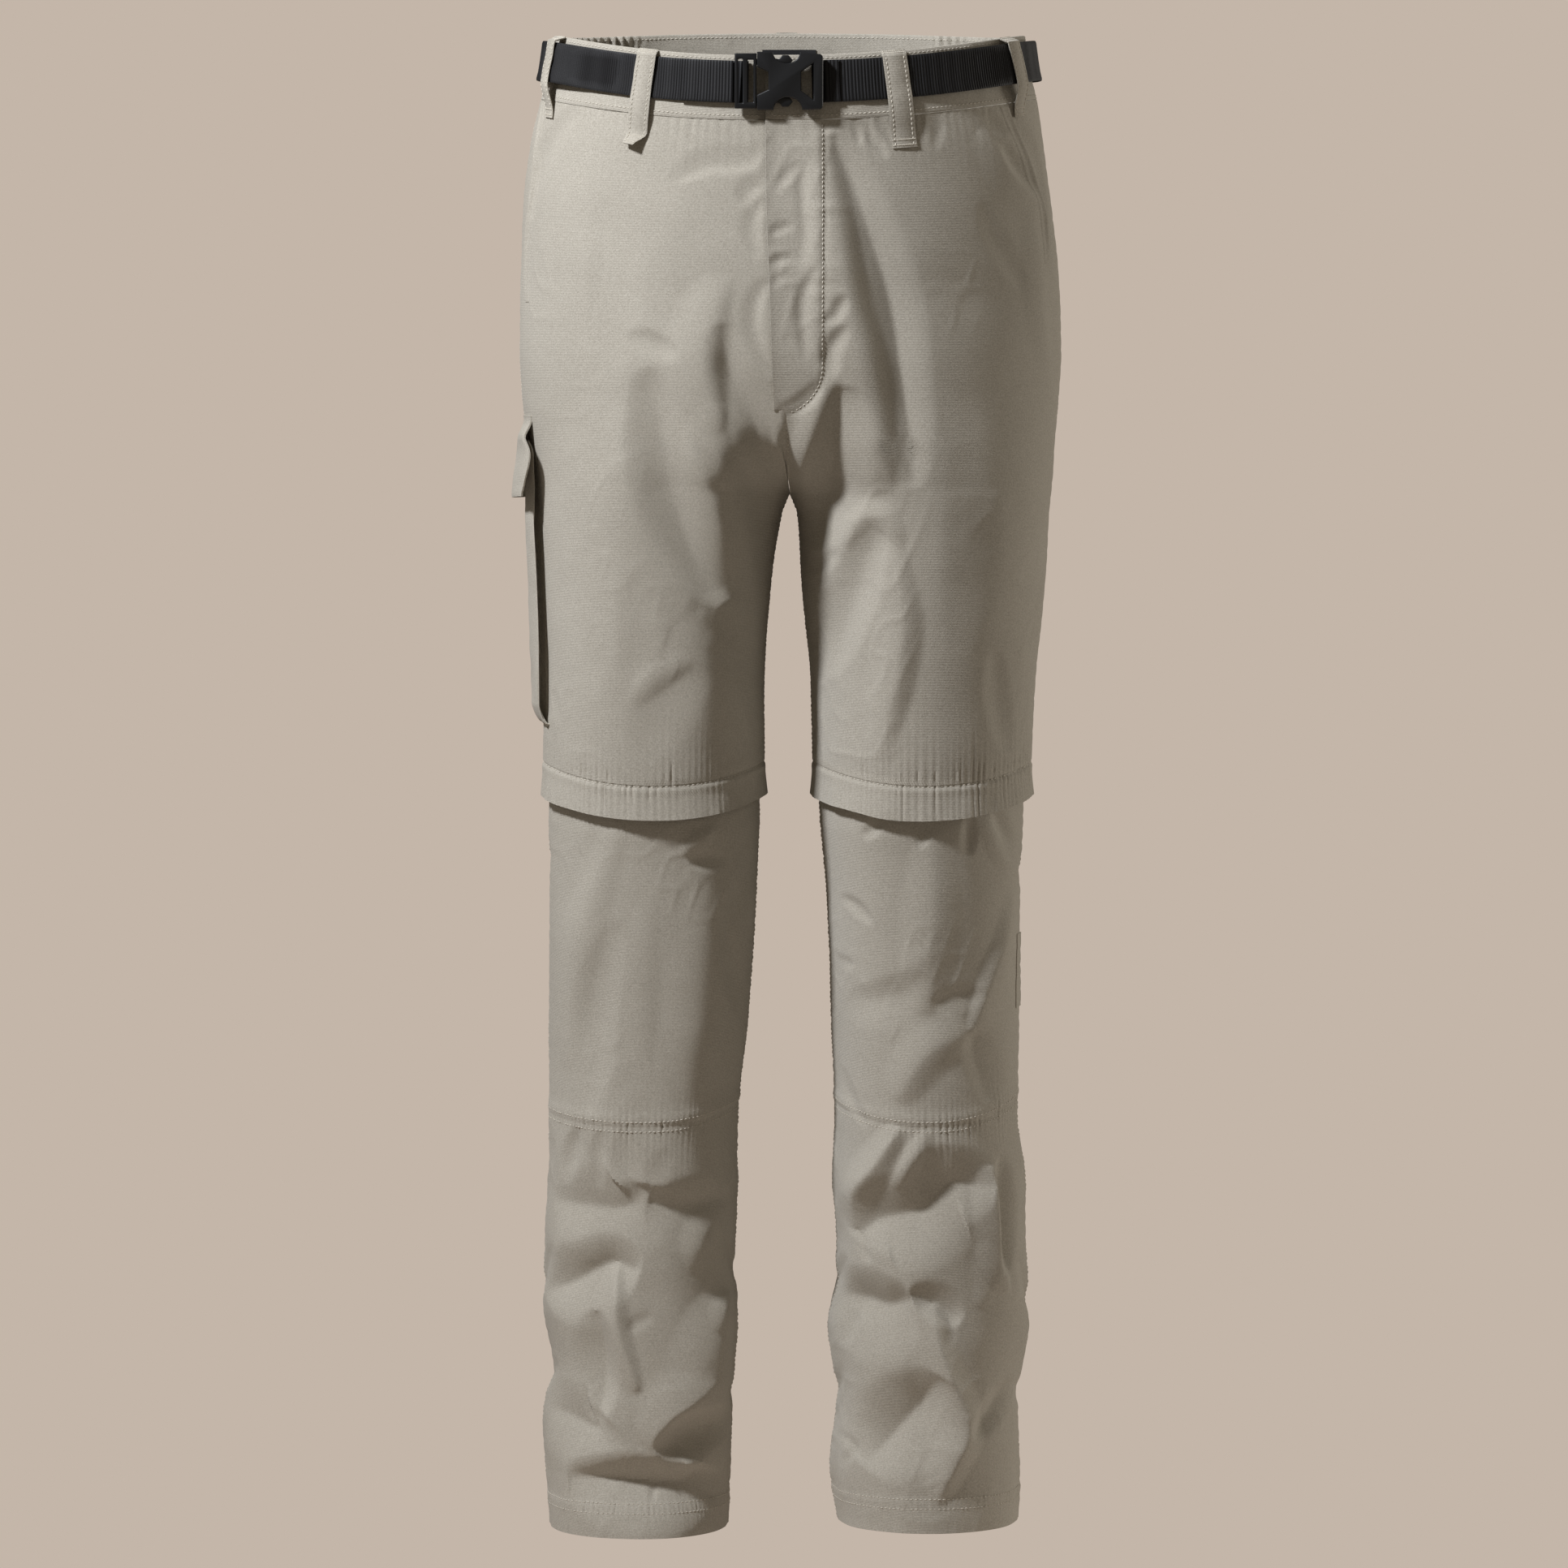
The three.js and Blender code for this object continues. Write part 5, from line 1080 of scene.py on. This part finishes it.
def handPocketPoints(pocket, u, v):
    q = (pocket["top"] - v) / (pocket["top"] - pocket["bottom"])
    line = pocket["topX"] + (pocket["bottomX"] - pocket["topX"]) * np.sin(q * np.pi / 2)
    heights = v[:, 0]
    edge = stationAt(pocket["leg"], heights, line[:, 0])[:, None]
    station = edge - pocket["wide"] * (1 - u) / body["halfWaist"]
    surface = lambda a, b: clothPoints(pocket["leg"], a, b)
    gape = pocket["gape"] * smooth(0.55, 1, u) * np.sin(np.pi * np.clip(q, 0, 1)) ** 0.6
    return raised(surface, station, v, sideOf[pocket["leg"]], 0.5 * smooth(0, 0.1, u) + gape)


def addHandPocket(pocket):
    heights = evenSteps(pocket["top"], pocket["bottom"], 3)
    v, u = np.meshgrid(heights, np.array(pocketColumns), indexing="ij")
    points = handPocketPoints(pocket, u, v)
    flip = sideOf[pocket["leg"]] < 0
    thing = clothSheet(f"hand_pocket_edge_{pocket['leg']}", points, flip, body["clothThick"])
    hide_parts(f"hand_pocket_{pocket['leg']}")
    return thing


# Cargo pocket on the right thigh
cargo = {
    "front": 0.438, "back": 0.69, "top": -268, "bottom": -472, "footRound": 13, "thinTo": -330,
    "fullness": 0.8, "belly": 0.08, "faceHeight": 11.3, "thick": 1.0,
    "flapTop": -250, "flapBottom": -307, "flapLift": 7.4, "flapFlare": 9, "flapSlant": 0.075,
    "flapSag": 2.4, "flapThick": 1.2,
    # the folded side in section: place across the pocket, height off the thigh
    "fold": [(0.052, 0.5), (0.07, 1.2), (0.088, 3.0), (0.097, 4.4), (0.09, 5.6), (0.066, 6.6),
             (0.034, 7.8), (0.012, 8.8), (0.0, 9.7), (0.004, 10.5), (0.02, 10.9), (0.05, 11.2)],
}


def cargoForm(u, v):
    return formPoints("right", cargo["front"] + (cargo["back"] - cargo["front"]) * u, v)


def addCargoPocket():
    fold = np.array(cargo["fold"])
    middle = np.linspace(0.1, 0.9, 44)
    across = np.concatenate([fold[:, 0], middle, 1 - fold[::-1, 0]])
    height = np.concatenate([fold[:, 1], np.full(len(middle), cargo["faceHeight"]), fold[::-1, 1]])
    down = np.concatenate([evenSteps(cargo["top"], -455, 3), evenSteps(-457, cargo["bottom"], 1.5)])
    u, v = np.meshgrid(across, down)
    lift = np.broadcast_to(height, u.shape)
    foot = np.clip((v - cargo["bottom"]) / cargo["footRound"], 0, 1) ** 0.5
    rise = np.sin(np.pi * np.clip(u, 0, 1)) * smooth(cargo["bottom"], cargo["top"], v)
    belly = cargo["fullness"] + cargo["belly"] * rise
    thinTop = 0.5 + 0.5 * smooth(cargo["top"], cargo["thinTo"], v)
    stand = 0.5 + (lift - 0.5) * foot * belly * thinTop
    slack = 0.6 * softNoise(u * 9, v / 26, 901) + 0.35 * softNoise(u * 30, v / 11, 902)
    stand = stand + (lift > 10) * slack
    sway = 0.006 * softNoise(v / 40, 0.5, 903) * smooth(2, 8, lift) * np.where(u < 0.5, 1, -1)
    thing = clothSheet("cargo_pocket_bag", raised(cargoForm, u + sway, v, -1, stand), True, cargo["thick"])
    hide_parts("cargo_pocket")
    return thing


def addCargoFlap():
    top, bottom = cargo["flapTop"], cargo["flapBottom"]
    across = np.concatenate([[-0.04, -0.035, -0.02], np.linspace(0, 1, 48), [1.02, 1.035, 1.04]])
    heights = np.concatenate([[top, -251, -252.5], evenSteps(-255, -304, 2.4), [-305.6, bottom]])
    u, v = np.meshgrid(across, heights)
    hang = smooth(top - 2, cargo["top"] + 2, v)
    down = (top - v) / (top - bottom)
    ripple = 0.8 * softNoise(u * 6, v / 30, 911) * hang + 0.3 * softNoise(u * 22, v / 12, 912)
    hemmed = 0.5 * smooth(-300, -303, v) + 0.4 * smooth(0.02, -0.01, u) + 0.4 * smooth(0.98, 1.01, u)
    stand = 0.6 + hang * cargo["flapLift"] + cargo["flapFlare"] * smooth(0.12, 1, down) + ripple + hemmed
    slant = cargo["flapSlant"] * (1 - down) * (np.clip(u, 0, 1) < 0.5) * (1 - 2 * np.clip(u, 0, 0.5))
    points = raised(cargoForm, u - slant, v, -1, stand)
    points[..., 2] -= cargo["flapSag"] * np.sin(np.pi * np.clip(u, 0, 1)) * smooth(-270, bottom, v)
    flap = clothSheet("cargo_pocket_flap", points, True, cargo["flapThick"])
    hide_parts("cargo_flap")
    return flap


# Small pieces
sideTab = {"top": -626, "bottom": -680, "start": 0.452, "wide": 0.04, "lift": 0.7, "curl": 0.5}
insideLabel = {"left": 22, "right": -18, "below": 12, "tall": 16, "gap": 1.1, "thick": 0.6}


def addSideTab():
    v, u = np.meshgrid(evenSteps(sideTab["top"], sideTab["bottom"], 2), evenSteps(0, 1, 0.08), indexing="ij")
    surface = lambda a, b: lowerPoints("left", sideTab["start"] + sideTab["wide"] * a, b)
    lift = sideTab["lift"] + sideTab["curl"] * smooth(0.85, 1, u)
    points = raised(surface, u, v, 1, lift, du=0.05)
    thing = clothSheet("side_tab_piece", points, False, body["clothThick"])
    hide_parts("side_tab")
    return thing


def addInsideLabel():
    start, end = backTurn(insideLabel["right"]), backTurn(insideLabel["left"])
    top = body["bandTop"] - insideLabel["below"]
    heights = evenSteps(top, top - insideLabel["tall"], 2)
    v, u = np.meshgrid(heights, np.linspace(start, end, 21), indexing="ij")
    inside = body["bandStandOut"] - body["bandThick"] - insideLabel["gap"] + bandWave(u, v)
    points = raised(aroundWaist, u, v, -1, inside)
    thing = clothSheet("inside_label_strip", points, False, insideLabel["thick"])
    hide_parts("inside_label")
    return thing


# Stitching
stitch = {
    "long": 2.4, "wide": 0.9, "tall": 0.42, "every": 3.4,  # about twice as thick as real thread
    "cover": 1.4, "cross": (3.6, -3.4), "hem": (24.5, 17.5),  # heights off the seam or edge
    "inner": 0.008, "outer": 0.508, "back": 0.991,  # stations of the rows down the legs
    "upperTop": -30, "crotch": -322, "upperEnd": -498, "lowerTop": -530,
    "band": 3,  # in from the band's edges
    "flyFoot": 33.8, "belowFly": (-253, -316),
}
stitched = []


def sewLine(points, normals, every=None, sunk=0.1, long=None):
    every, long = every or stitch["every"], long or stitch["long"]
    points, normals = np.asarray(points, float), np.asarray(normals, float)
    run = np.concatenate([[0], np.cumsum(np.linalg.norm(np.diff(points, axis=0), axis=-1))])
    count = int(run[-1] / every)
    if count < 1:
        return
    at = (np.arange(count) + 0.5) * every + (run[-1] - count * every) / 2
    read = lambda values, where: np.stack([np.interp(where, run, values[:, k]) for k in range(3)], -1)
    tangent = unit(read(points, at + 0.6) - read(points, at - 0.6))
    normal = read(normals, at)
    normal = unit(normal - tangent * (normal * tangent).sum(-1, keepdims=True))
    stitched.append((read(points, at) - normal * sunk, tangent, normal, np.full(count, long)))


def makeStitches(name):
    place, tangent, normal, long = (np.concatenate(part) for part in zip(*stitched))
    stitched.clear()
    side = np.cross(normal, tangent)
    shape = [(-0.5, 0, 0.1), (-0.28, -0.5, 0.05), (-0.28, 0, 1), (-0.28, 0.5, 0.05),
             (0.28, -0.5, 0.05), (0.28, 0, 1), (0.28, 0.5, 0.05), (0.5, 0, 0.1)]
    points = np.stack([place + tangent * (long * t)[:, None] + side * (stitch["wide"] * s)
                       + normal * (stitch["tall"] * n) for t, s, n in shape], 1)
    template = [(0, 2, 1), (0, 3, 2), (0, 1, 3), (1, 2, 5, 4), (2, 3, 6, 5), (1, 4, 6, 3),
                (7, 4, 5), (7, 5, 6), (7, 6, 4)]
    faces = [tuple(8 * k + i for i in face) for k in range(len(place)) for face in template]
    thing = makeObject(name, points.reshape(-1, 3), faces, points.reshape(-1, 3)[:, [0, 2]])
    return thing


def sewOn(surface, u, v, facing, out, **settings):
    u, v = sameShape(u, v)
    normals = normalsOf(surface, u, v, facing)
    sewLine(surface(u, v) + normals * out, normals, **settings)


def sewLegs():
    for leg in ("right", "left"):
        side = sideOf[leg]
        s = np.linspace(0.004, 0.996, 260)
        fronts = np.linspace(0.006, 0.494, 130)
        hem = body["hem"][leg]
        cover = lambda u, v: coverPoints(leg, u, v)
        lower = lambda u, v: lowerPoints(leg, u, v)
        upper = lambda u, v: upperPoints(leg, u, v)
        sewOn(cover, s, body["knee"] - stitch["cover"], side, 0.1)
        for offset in stitch["cross"]:
            sewOn(lower, fronts, crossLine(leg, fronts) + offset, side, 0.05)
        for above in stitch["hem"]:
            sewOn(lower, np.linspace(0.012, 0.488, 130), hem + above, side, 0.05)
            sewOn(lower, np.linspace(0.512, 0.988, 130), hem + above, side, 0.05)
        for station in (stitch["inner"], stitch["outer"]):
            sewOn(lower, station, np.linspace(stitch["lowerTop"], hem + 1, 200), side, 0.05)
        sewOn(upper, 0.009, np.linspace(stitch["crotch"], stitch["upperEnd"], 80), side, 0.05)
        for station in (stitch["outer"], stitch["back"]):
            sewOn(upper, station, np.linspace(stitch["upperTop"], stitch["upperEnd"], 180), side, 0.05)


def sewWaist():
    turns = np.linspace(-0.995, 0.995, 520)
    out, lap, margin = body["bandStandOut"], waistband["lap"], stitch["band"]
    top, bottom = body["bandTop"], body["bandBottom"]
    surface = lambda u, v: raised(aroundWaist, u, v, -1,
                                  out + bandWave(u, v) + lap * smooth(*waistband["lapFrom"], u))
    sewOn(surface, turns, top - margin, -1, -0.1)
    sewOn(surface, turns, bottom + margin, -1, -0.1)
    inner = lambda u, v: raised(aroundWaist, u, v, -1, out - body["bandThick"] + bandWave(u, v))
    sewOn(inner, np.linspace(-0.6, 0.6, 320), top - margin, 1, -0.1)
    sewOn(surface, np.full(12, 0.9935), np.linspace(bottom + 2, top - 2, 12), -1, 0)
    straightEnd = flyEdge["straightEnd"]
    curve = straightEnd - stitch["flyFoot"] * np.sin(np.linspace(0.05, 1, 30) * np.pi / 2)
    z = np.concatenate([np.linspace(bottom - 2, straightEnd, 60), curve])
    front = lambda u, v: upperPoints("left", u, v)
    sewOn(front, stationAt("left", z, flyLine(z) - 0.5), z, 1, 0.1)
    sewOn(front, 0.012, np.linspace(*stitch["belowFly"], 30), 1, 0.1)


print("stage: piece makers ready")

# Build
madeCloth, madeWebbing = {}, {}
for leg in ("right", "left"):
    for half in ("front", "back"):
        madeCloth[f"{half}_panel_{leg}"] = addUpperPanel(leg, half)
    madeCloth[f"knee_cover_{leg}"] = addKneeCover(leg)
    for which in ("knee_front", "shin_front", "calf_back"):
        madeCloth[f"{which}_panel_{leg}"] = addLowerPanel(leg, which)
    print("stage:", leg, "leg made")
zips = [addKneeZip(leg) for leg in ("right", "left")]
for name, start, end, elastic in waistband["lengths"]:
    madeCloth[name] = addWaistband(name, start, end, elastic)
# name, node, where it starts and ends across the front, layer over the strap
webbings = [
    ("belt_webbing", "belt_strap", 17.9, -26.7, 0),
    ("belt_webbing_fold", "belt_fold", 26.7, 37, 1),
    ("belt_webbing_tail", "belt_tail", -73.5, -37.5, 1),
]
for name, node, start, end, layer in webbings:
    ends = frontTurn(start, belt["middle"]), frontTurn(end, belt["middle"])
    madeWebbing[name] = addWebbing(name, node, *ends, layer)
loopGrids = []
for leg, topX, bottomX, bottom, node in loops["places"]:
    madeCloth[node], outer, normals = addLoop(leg, topX, bottomX, bottom, node)
    loopGrids.append((outer, normals))
for pocket in handPockets:
    madeCloth["hand_pocket_" + pocket["leg"]] = addHandPocket(pocket)
madeCloth["cargo"] = addCargoPocket()
madeCloth["flap"] = addCargoFlap()
madeCloth["tab"] = addSideTab()
label = addInsideLabel()
buckle = [addBuckleHalf(node) for node in ("buckle_socket", "buckle_prongs")]
print("stage: sewn pieces made")

sewLegs()
sewWaist()
for outer, normals in loopGrids:  # two rows down each loop, and bars across its ends
    for column in (2, 8):
        sewLine(outer[3:, column], normals[3:, column], sunk=0)
    for row in (1, 2, -2, -4):
        sewLine(outer[row, 1:-1], normals[row, 1:-1], every=1.0, long=1.4, sunk=0)
stitches = makeStitches("sewing_thread")
print("stage: stitches made")


# Materials
def linear(hexColour):
    channels = [int(hexColour[i:i + 2], 16) / 255 for i in (1, 3, 5)]
    return [c / 12.92 if c <= 0.04045 else ((c + 0.055) / 1.055) ** 2.4 for c in channels] + [1]


def addNode(tree, kind, settings=None, links=None):
    made = tree.nodes.new("ShaderNode" + kind)
    for key, value in (settings or {}).items():
        if isinstance(key, int) or key in made.inputs:
            made.inputs[key].default_value = value
        else:
            setattr(made, key, value)
    for key, source in (links or {}).items():
        tree.links.new(source, made.inputs[key])
    return made


def startMaterial(name):
    material = bpy.data.materials.new(name)
    material.use_nodes = True
    material.node_tree.nodes.clear()
    return material, material.node_tree


def finishMaterial(tree, shader):
    addNode(tree, "OutputMaterial", links={"Surface": shader.outputs["BSDF"]})


# Stone beige polycotton: a matt, slightly uneven weave whose slubs break up the light, with a faint nap
# at the edges. The thread is drawn at 0.85 mm, coarser than the real 0.3 mm or so, to show at the
# photo's size.
clothLook = {
    "light": "#C8C2B5", "dark": "#A59E91", "thread": 0.00085, "roughness": 0.92, "nap": 0.12,
    "weftShare": 0.6, "slubs": 900.0, "patches": 9.0, "patchShare": 0.22, "fadeFrom": 0.41, "fadeTo": 0.81,
    "weaveShare": 0.35, "bump": 0.5, "bumpDeep": 0.0007,
}


def makeCloth(name, look):
    material, tree = startMaterial(name)
    uv = addNode(tree, "UVMap", {"uv_map": "UVMap"})
    split = addNode(tree, "SeparateXYZ", links={0: uv.outputs[0]})
    turns = 2 * math.pi / look["thread"]
    warp = addNode(tree, "Math", {"operation": "MULTIPLY", 1: turns}, {0: split.outputs[0]})
    weft = addNode(tree, "Math", {"operation": "MULTIPLY", 1: turns}, {0: split.outputs[1]})
    diagonal = addNode(tree, "Math", {"operation": "ADD"}, {0: warp.outputs[0], 1: weft.outputs[0]})
    twill = addNode(tree, "Math", {"operation": "SINE"}, {0: diagonal.outputs[0]})
    across = addNode(tree, "Math", {"operation": "SINE"}, {0: weft.outputs[0]})
    weave = addNode(tree, "Math", {"operation": "MULTIPLY_ADD", 1: look["weftShare"]},
                    {0: across.outputs[0], 2: twill.outputs[0]})
    place = addNode(tree, "TexCoord").outputs["Object"]
    slub = addNode(tree, "TexNoise", {"Scale": look["slubs"], "Detail": 4.0, "Roughness": 0.7},
                   {"Vector": place})
    tone = addNode(tree, "TexNoise", {"Scale": look["patches"], "Detail": 4.0}, {"Vector": place})
    share = addNode(tree, "Math", {"operation": "MULTIPLY_ADD", 1: look["patchShare"]},
                    {0: tone.outputs["Fac"], 2: slub.outputs["Fac"]})
    fade = addNode(tree, "MapRange", {"From Min": look["fadeFrom"], "From Max": look["fadeTo"]},
                   {"Value": share.outputs[0]})
    colour = addNode(tree, "Mix",
                     {"data_type": "RGBA", 6: linear(look["dark"]), 7: linear(look["light"])},
                     {0: fade.outputs[0]})
    height = addNode(tree, "Math", {"operation": "MULTIPLY_ADD", 1: look["weaveShare"]},
                     {0: weave.outputs[0], 2: slub.outputs["Fac"]})
    bump = addNode(tree, "Bump", {"Strength": look["bump"], "Distance": look["bumpDeep"]},
                   {"Height": height.outputs[0]})
    shader = addNode(tree, "BsdfPrincipled",
                     {"Roughness": look["roughness"], "Sheen Weight": look["nap"], "Sheen Roughness": 0.5,
                      "IOR": 1.45, "Specular IOR Level": 0.25},
                     {"Base Color": colour.outputs[2], "Normal": bump.outputs[0]})
    finishMaterial(tree, shader)
    return material


# Black nylon webbing: a painted highlight on the crown of each rib and painted shade between the ribs, over
# the ribs' bump. They stand 1.95 mm apart, as they do in the mesh, a little coarser than the real 1.85 mm or
# so.
webbingLook = {
    "dark": "#030304", "light": "#1A191B", "roughness": 0.62, "sheen": 0.03,
    "rib": belt["rib"] / 1000, "ribPaintedLightAndBump": 0.25, "fuzz": 1400.0, "bump": 0.4, "bumpDeep": 0.0003,
}


def makeWebbing(name, look):
    material, tree = startMaterial(name)
    uv = addNode(tree, "UVMap", {"uv_map": "UVMap"})
    split = addNode(tree, "SeparateXYZ", links={0: uv.outputs[0]})
    turns = addNode(tree, "Math", {"operation": "MULTIPLY", 1: 2 * math.pi / look["rib"]},
                    {0: split.outputs[0]})
    rib = addNode(tree, "Math", {"operation": "SINE"}, {0: turns.outputs[0]})
    fuzz = addNode(tree, "TexNoise", {"Scale": look["fuzz"], "Detail": 2.0},
                   {"Vector": uv.outputs[0]})
    share = addNode(tree, "Math", {"operation": "MULTIPLY_ADD", 1: look["ribPaintedLightAndBump"]},
                    {0: rib.outputs[0], 2: fuzz.outputs["Fac"]})
    # The rib wave lightens the colour on each crown as a painted highlight and darkens it between as painted
    # shade; the fuzz is the yarn's own uneven tone.
    colour = addNode(tree, "Mix",
                     {"data_type": "RGBA", 6: linear(look["dark"]), 7: linear(look["light"])},
                     {0: share.outputs[0]})
    bump = addNode(tree, "Bump", {"Strength": look["bump"], "Distance": look["bumpDeep"]},
                   {"Height": share.outputs[0]})
    shader = addNode(tree, "BsdfPrincipled",
                     {"Roughness": look["roughness"], "Sheen Weight": look["sheen"], "IOR": 1.5,
                      "Specular IOR Level": 0.35},
                     {"Base Color": colour.outputs[2], "Normal": bump.outputs[0]})
    finishMaterial(tree, shader)
    return material


def makePlain(name, hexColour, roughness, grain, depth):
    material, tree = startMaterial(name)
    place = addNode(tree, "TexCoord").outputs["Object"]
    noise = addNode(tree, "TexNoise", {"Scale": grain, "Detail": 3.0}, {"Vector": place})
    bump = addNode(tree, "Bump", {"Strength": 0.3, "Distance": depth},
                   {"Height": noise.outputs["Fac"]})
    shader = addNode(tree, "BsdfPrincipled",
                     {"Base Color": linear(hexColour), "Roughness": roughness, "IOR": 1.5},
                     {"Normal": bump.outputs[0]})
    finishMaterial(tree, shader)
    return material


# Acetal has a satin gloss that draws the buckle's edges; the zip tape is a darker, flat beige; the label
# is dull black; the sewing thread is paler and smoother than the cloth, so the stitches catch the light.
# After the name: colour, roughness, grains to the metre, depth of the grain in metres.
polycotton = makeCloth("plain_woven_polycotton", clothLook)
nylonWebbing = makeWebbing("ribbed_nylon_webbing", webbingLook)
acetal = makePlain("moulded_black_acetal", "#131416", 0.38, 900.0, 0.00005)
zipTape = makePlain("woven_zip_tape", "#6F6858", 0.85, 700.0, 0.0002)
labelCloth = makePlain("woven_black_label", "#18181A", 0.8, 900.0, 0.0001)
thread = makePlain("polyester_thread", "#CDC6B8", 0.7, 1200.0, 0.0001)


def dress(thing, material, body="root"):
    thing.data.materials.clear()
    thing.data.materials.append(material)
    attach(thing, body)


for thing in madeCloth.values():
    dress(thing, polycotton)
for thing in madeWebbing.values():
    dress(thing, nylonWebbing)
for thing in zips:
    dress(thing, zipTape)
dress(label, labelCloth)
dress(stitches, thread)
for thing in buckle:
    dress(thing, acetal)
print("stage: pieces dressed")

# Light and floor
lightRig = {
    "aim": (0, 0, -0.5),
    "key": {"at": (-1.38, -1.1, 1.33), "wide": 0.28, "watts": 76, "colour": "#F6F9FF"},
    "fill": {"at": (3.9, 0.9, 0.1), "wide": 1.8, "watts": 54, "colour": "#FFFAF2"},
    "worldLight": "#C0B6A8", "worldStrength": 0.31, "paper": "#C4B6A9",
}
for name in ("key", "fill"):
    lamp = lightRig[name]
    bpy.ops.object.light_add(type="AREA", location=lamp["at"], rotation=aimed(lamp["at"], lightRig["aim"]))
    bpy.context.object.data.size = lamp["wide"]
    bpy.context.object.data.energy = lamp["watts"]
    bpy.context.object.data.color = linear(lamp["colour"])[:3]

world = bpy.data.worlds.new("studio")
world.use_nodes = True
scene.world = world
world.node_tree.nodes.clear()
tree = world.node_tree
seen = addNode(tree, "LightPath")
ambient = addNode(tree, "Background",
                  {"Color": linear(lightRig["worldLight"]), "Strength": lightRig["worldStrength"]})
paper = addNode(tree, "Background", {"Color": linear(lightRig["paper"]), "Strength": 1.0})
either = addNode(tree, "MixShader",
                 links={0: seen.outputs["Is Camera Ray"], 1: ambient.outputs[0], 2: paper.outputs[0]})
addNode(tree, "OutputWorld", links={"Surface": either.outputs[0]})
scene.view_settings.view_transform = "Standard"

# Matt paper, a little greyer than the backdrop, so that the shadow reads
floorPaper = {"radius": 1.1, "at": (0, 0, -1.3), "colour": "#C9BCB0", "roughness": 0.9}
bpy.ops.mesh.primitive_circle_add(vertices=96, radius=floorPaper["radius"], fill_type="NGON",
                                  location=floorPaper["at"])
floor = bpy.context.object
floor.name = "studio_floor"
paperLook = makePlain("pale_floor_paper", floorPaper["colour"], floorPaper["roughness"], 60.0, 0.0002)
floor.data.materials.append(paperLook)
print("stage: light and floor set")

print("stage: finished")
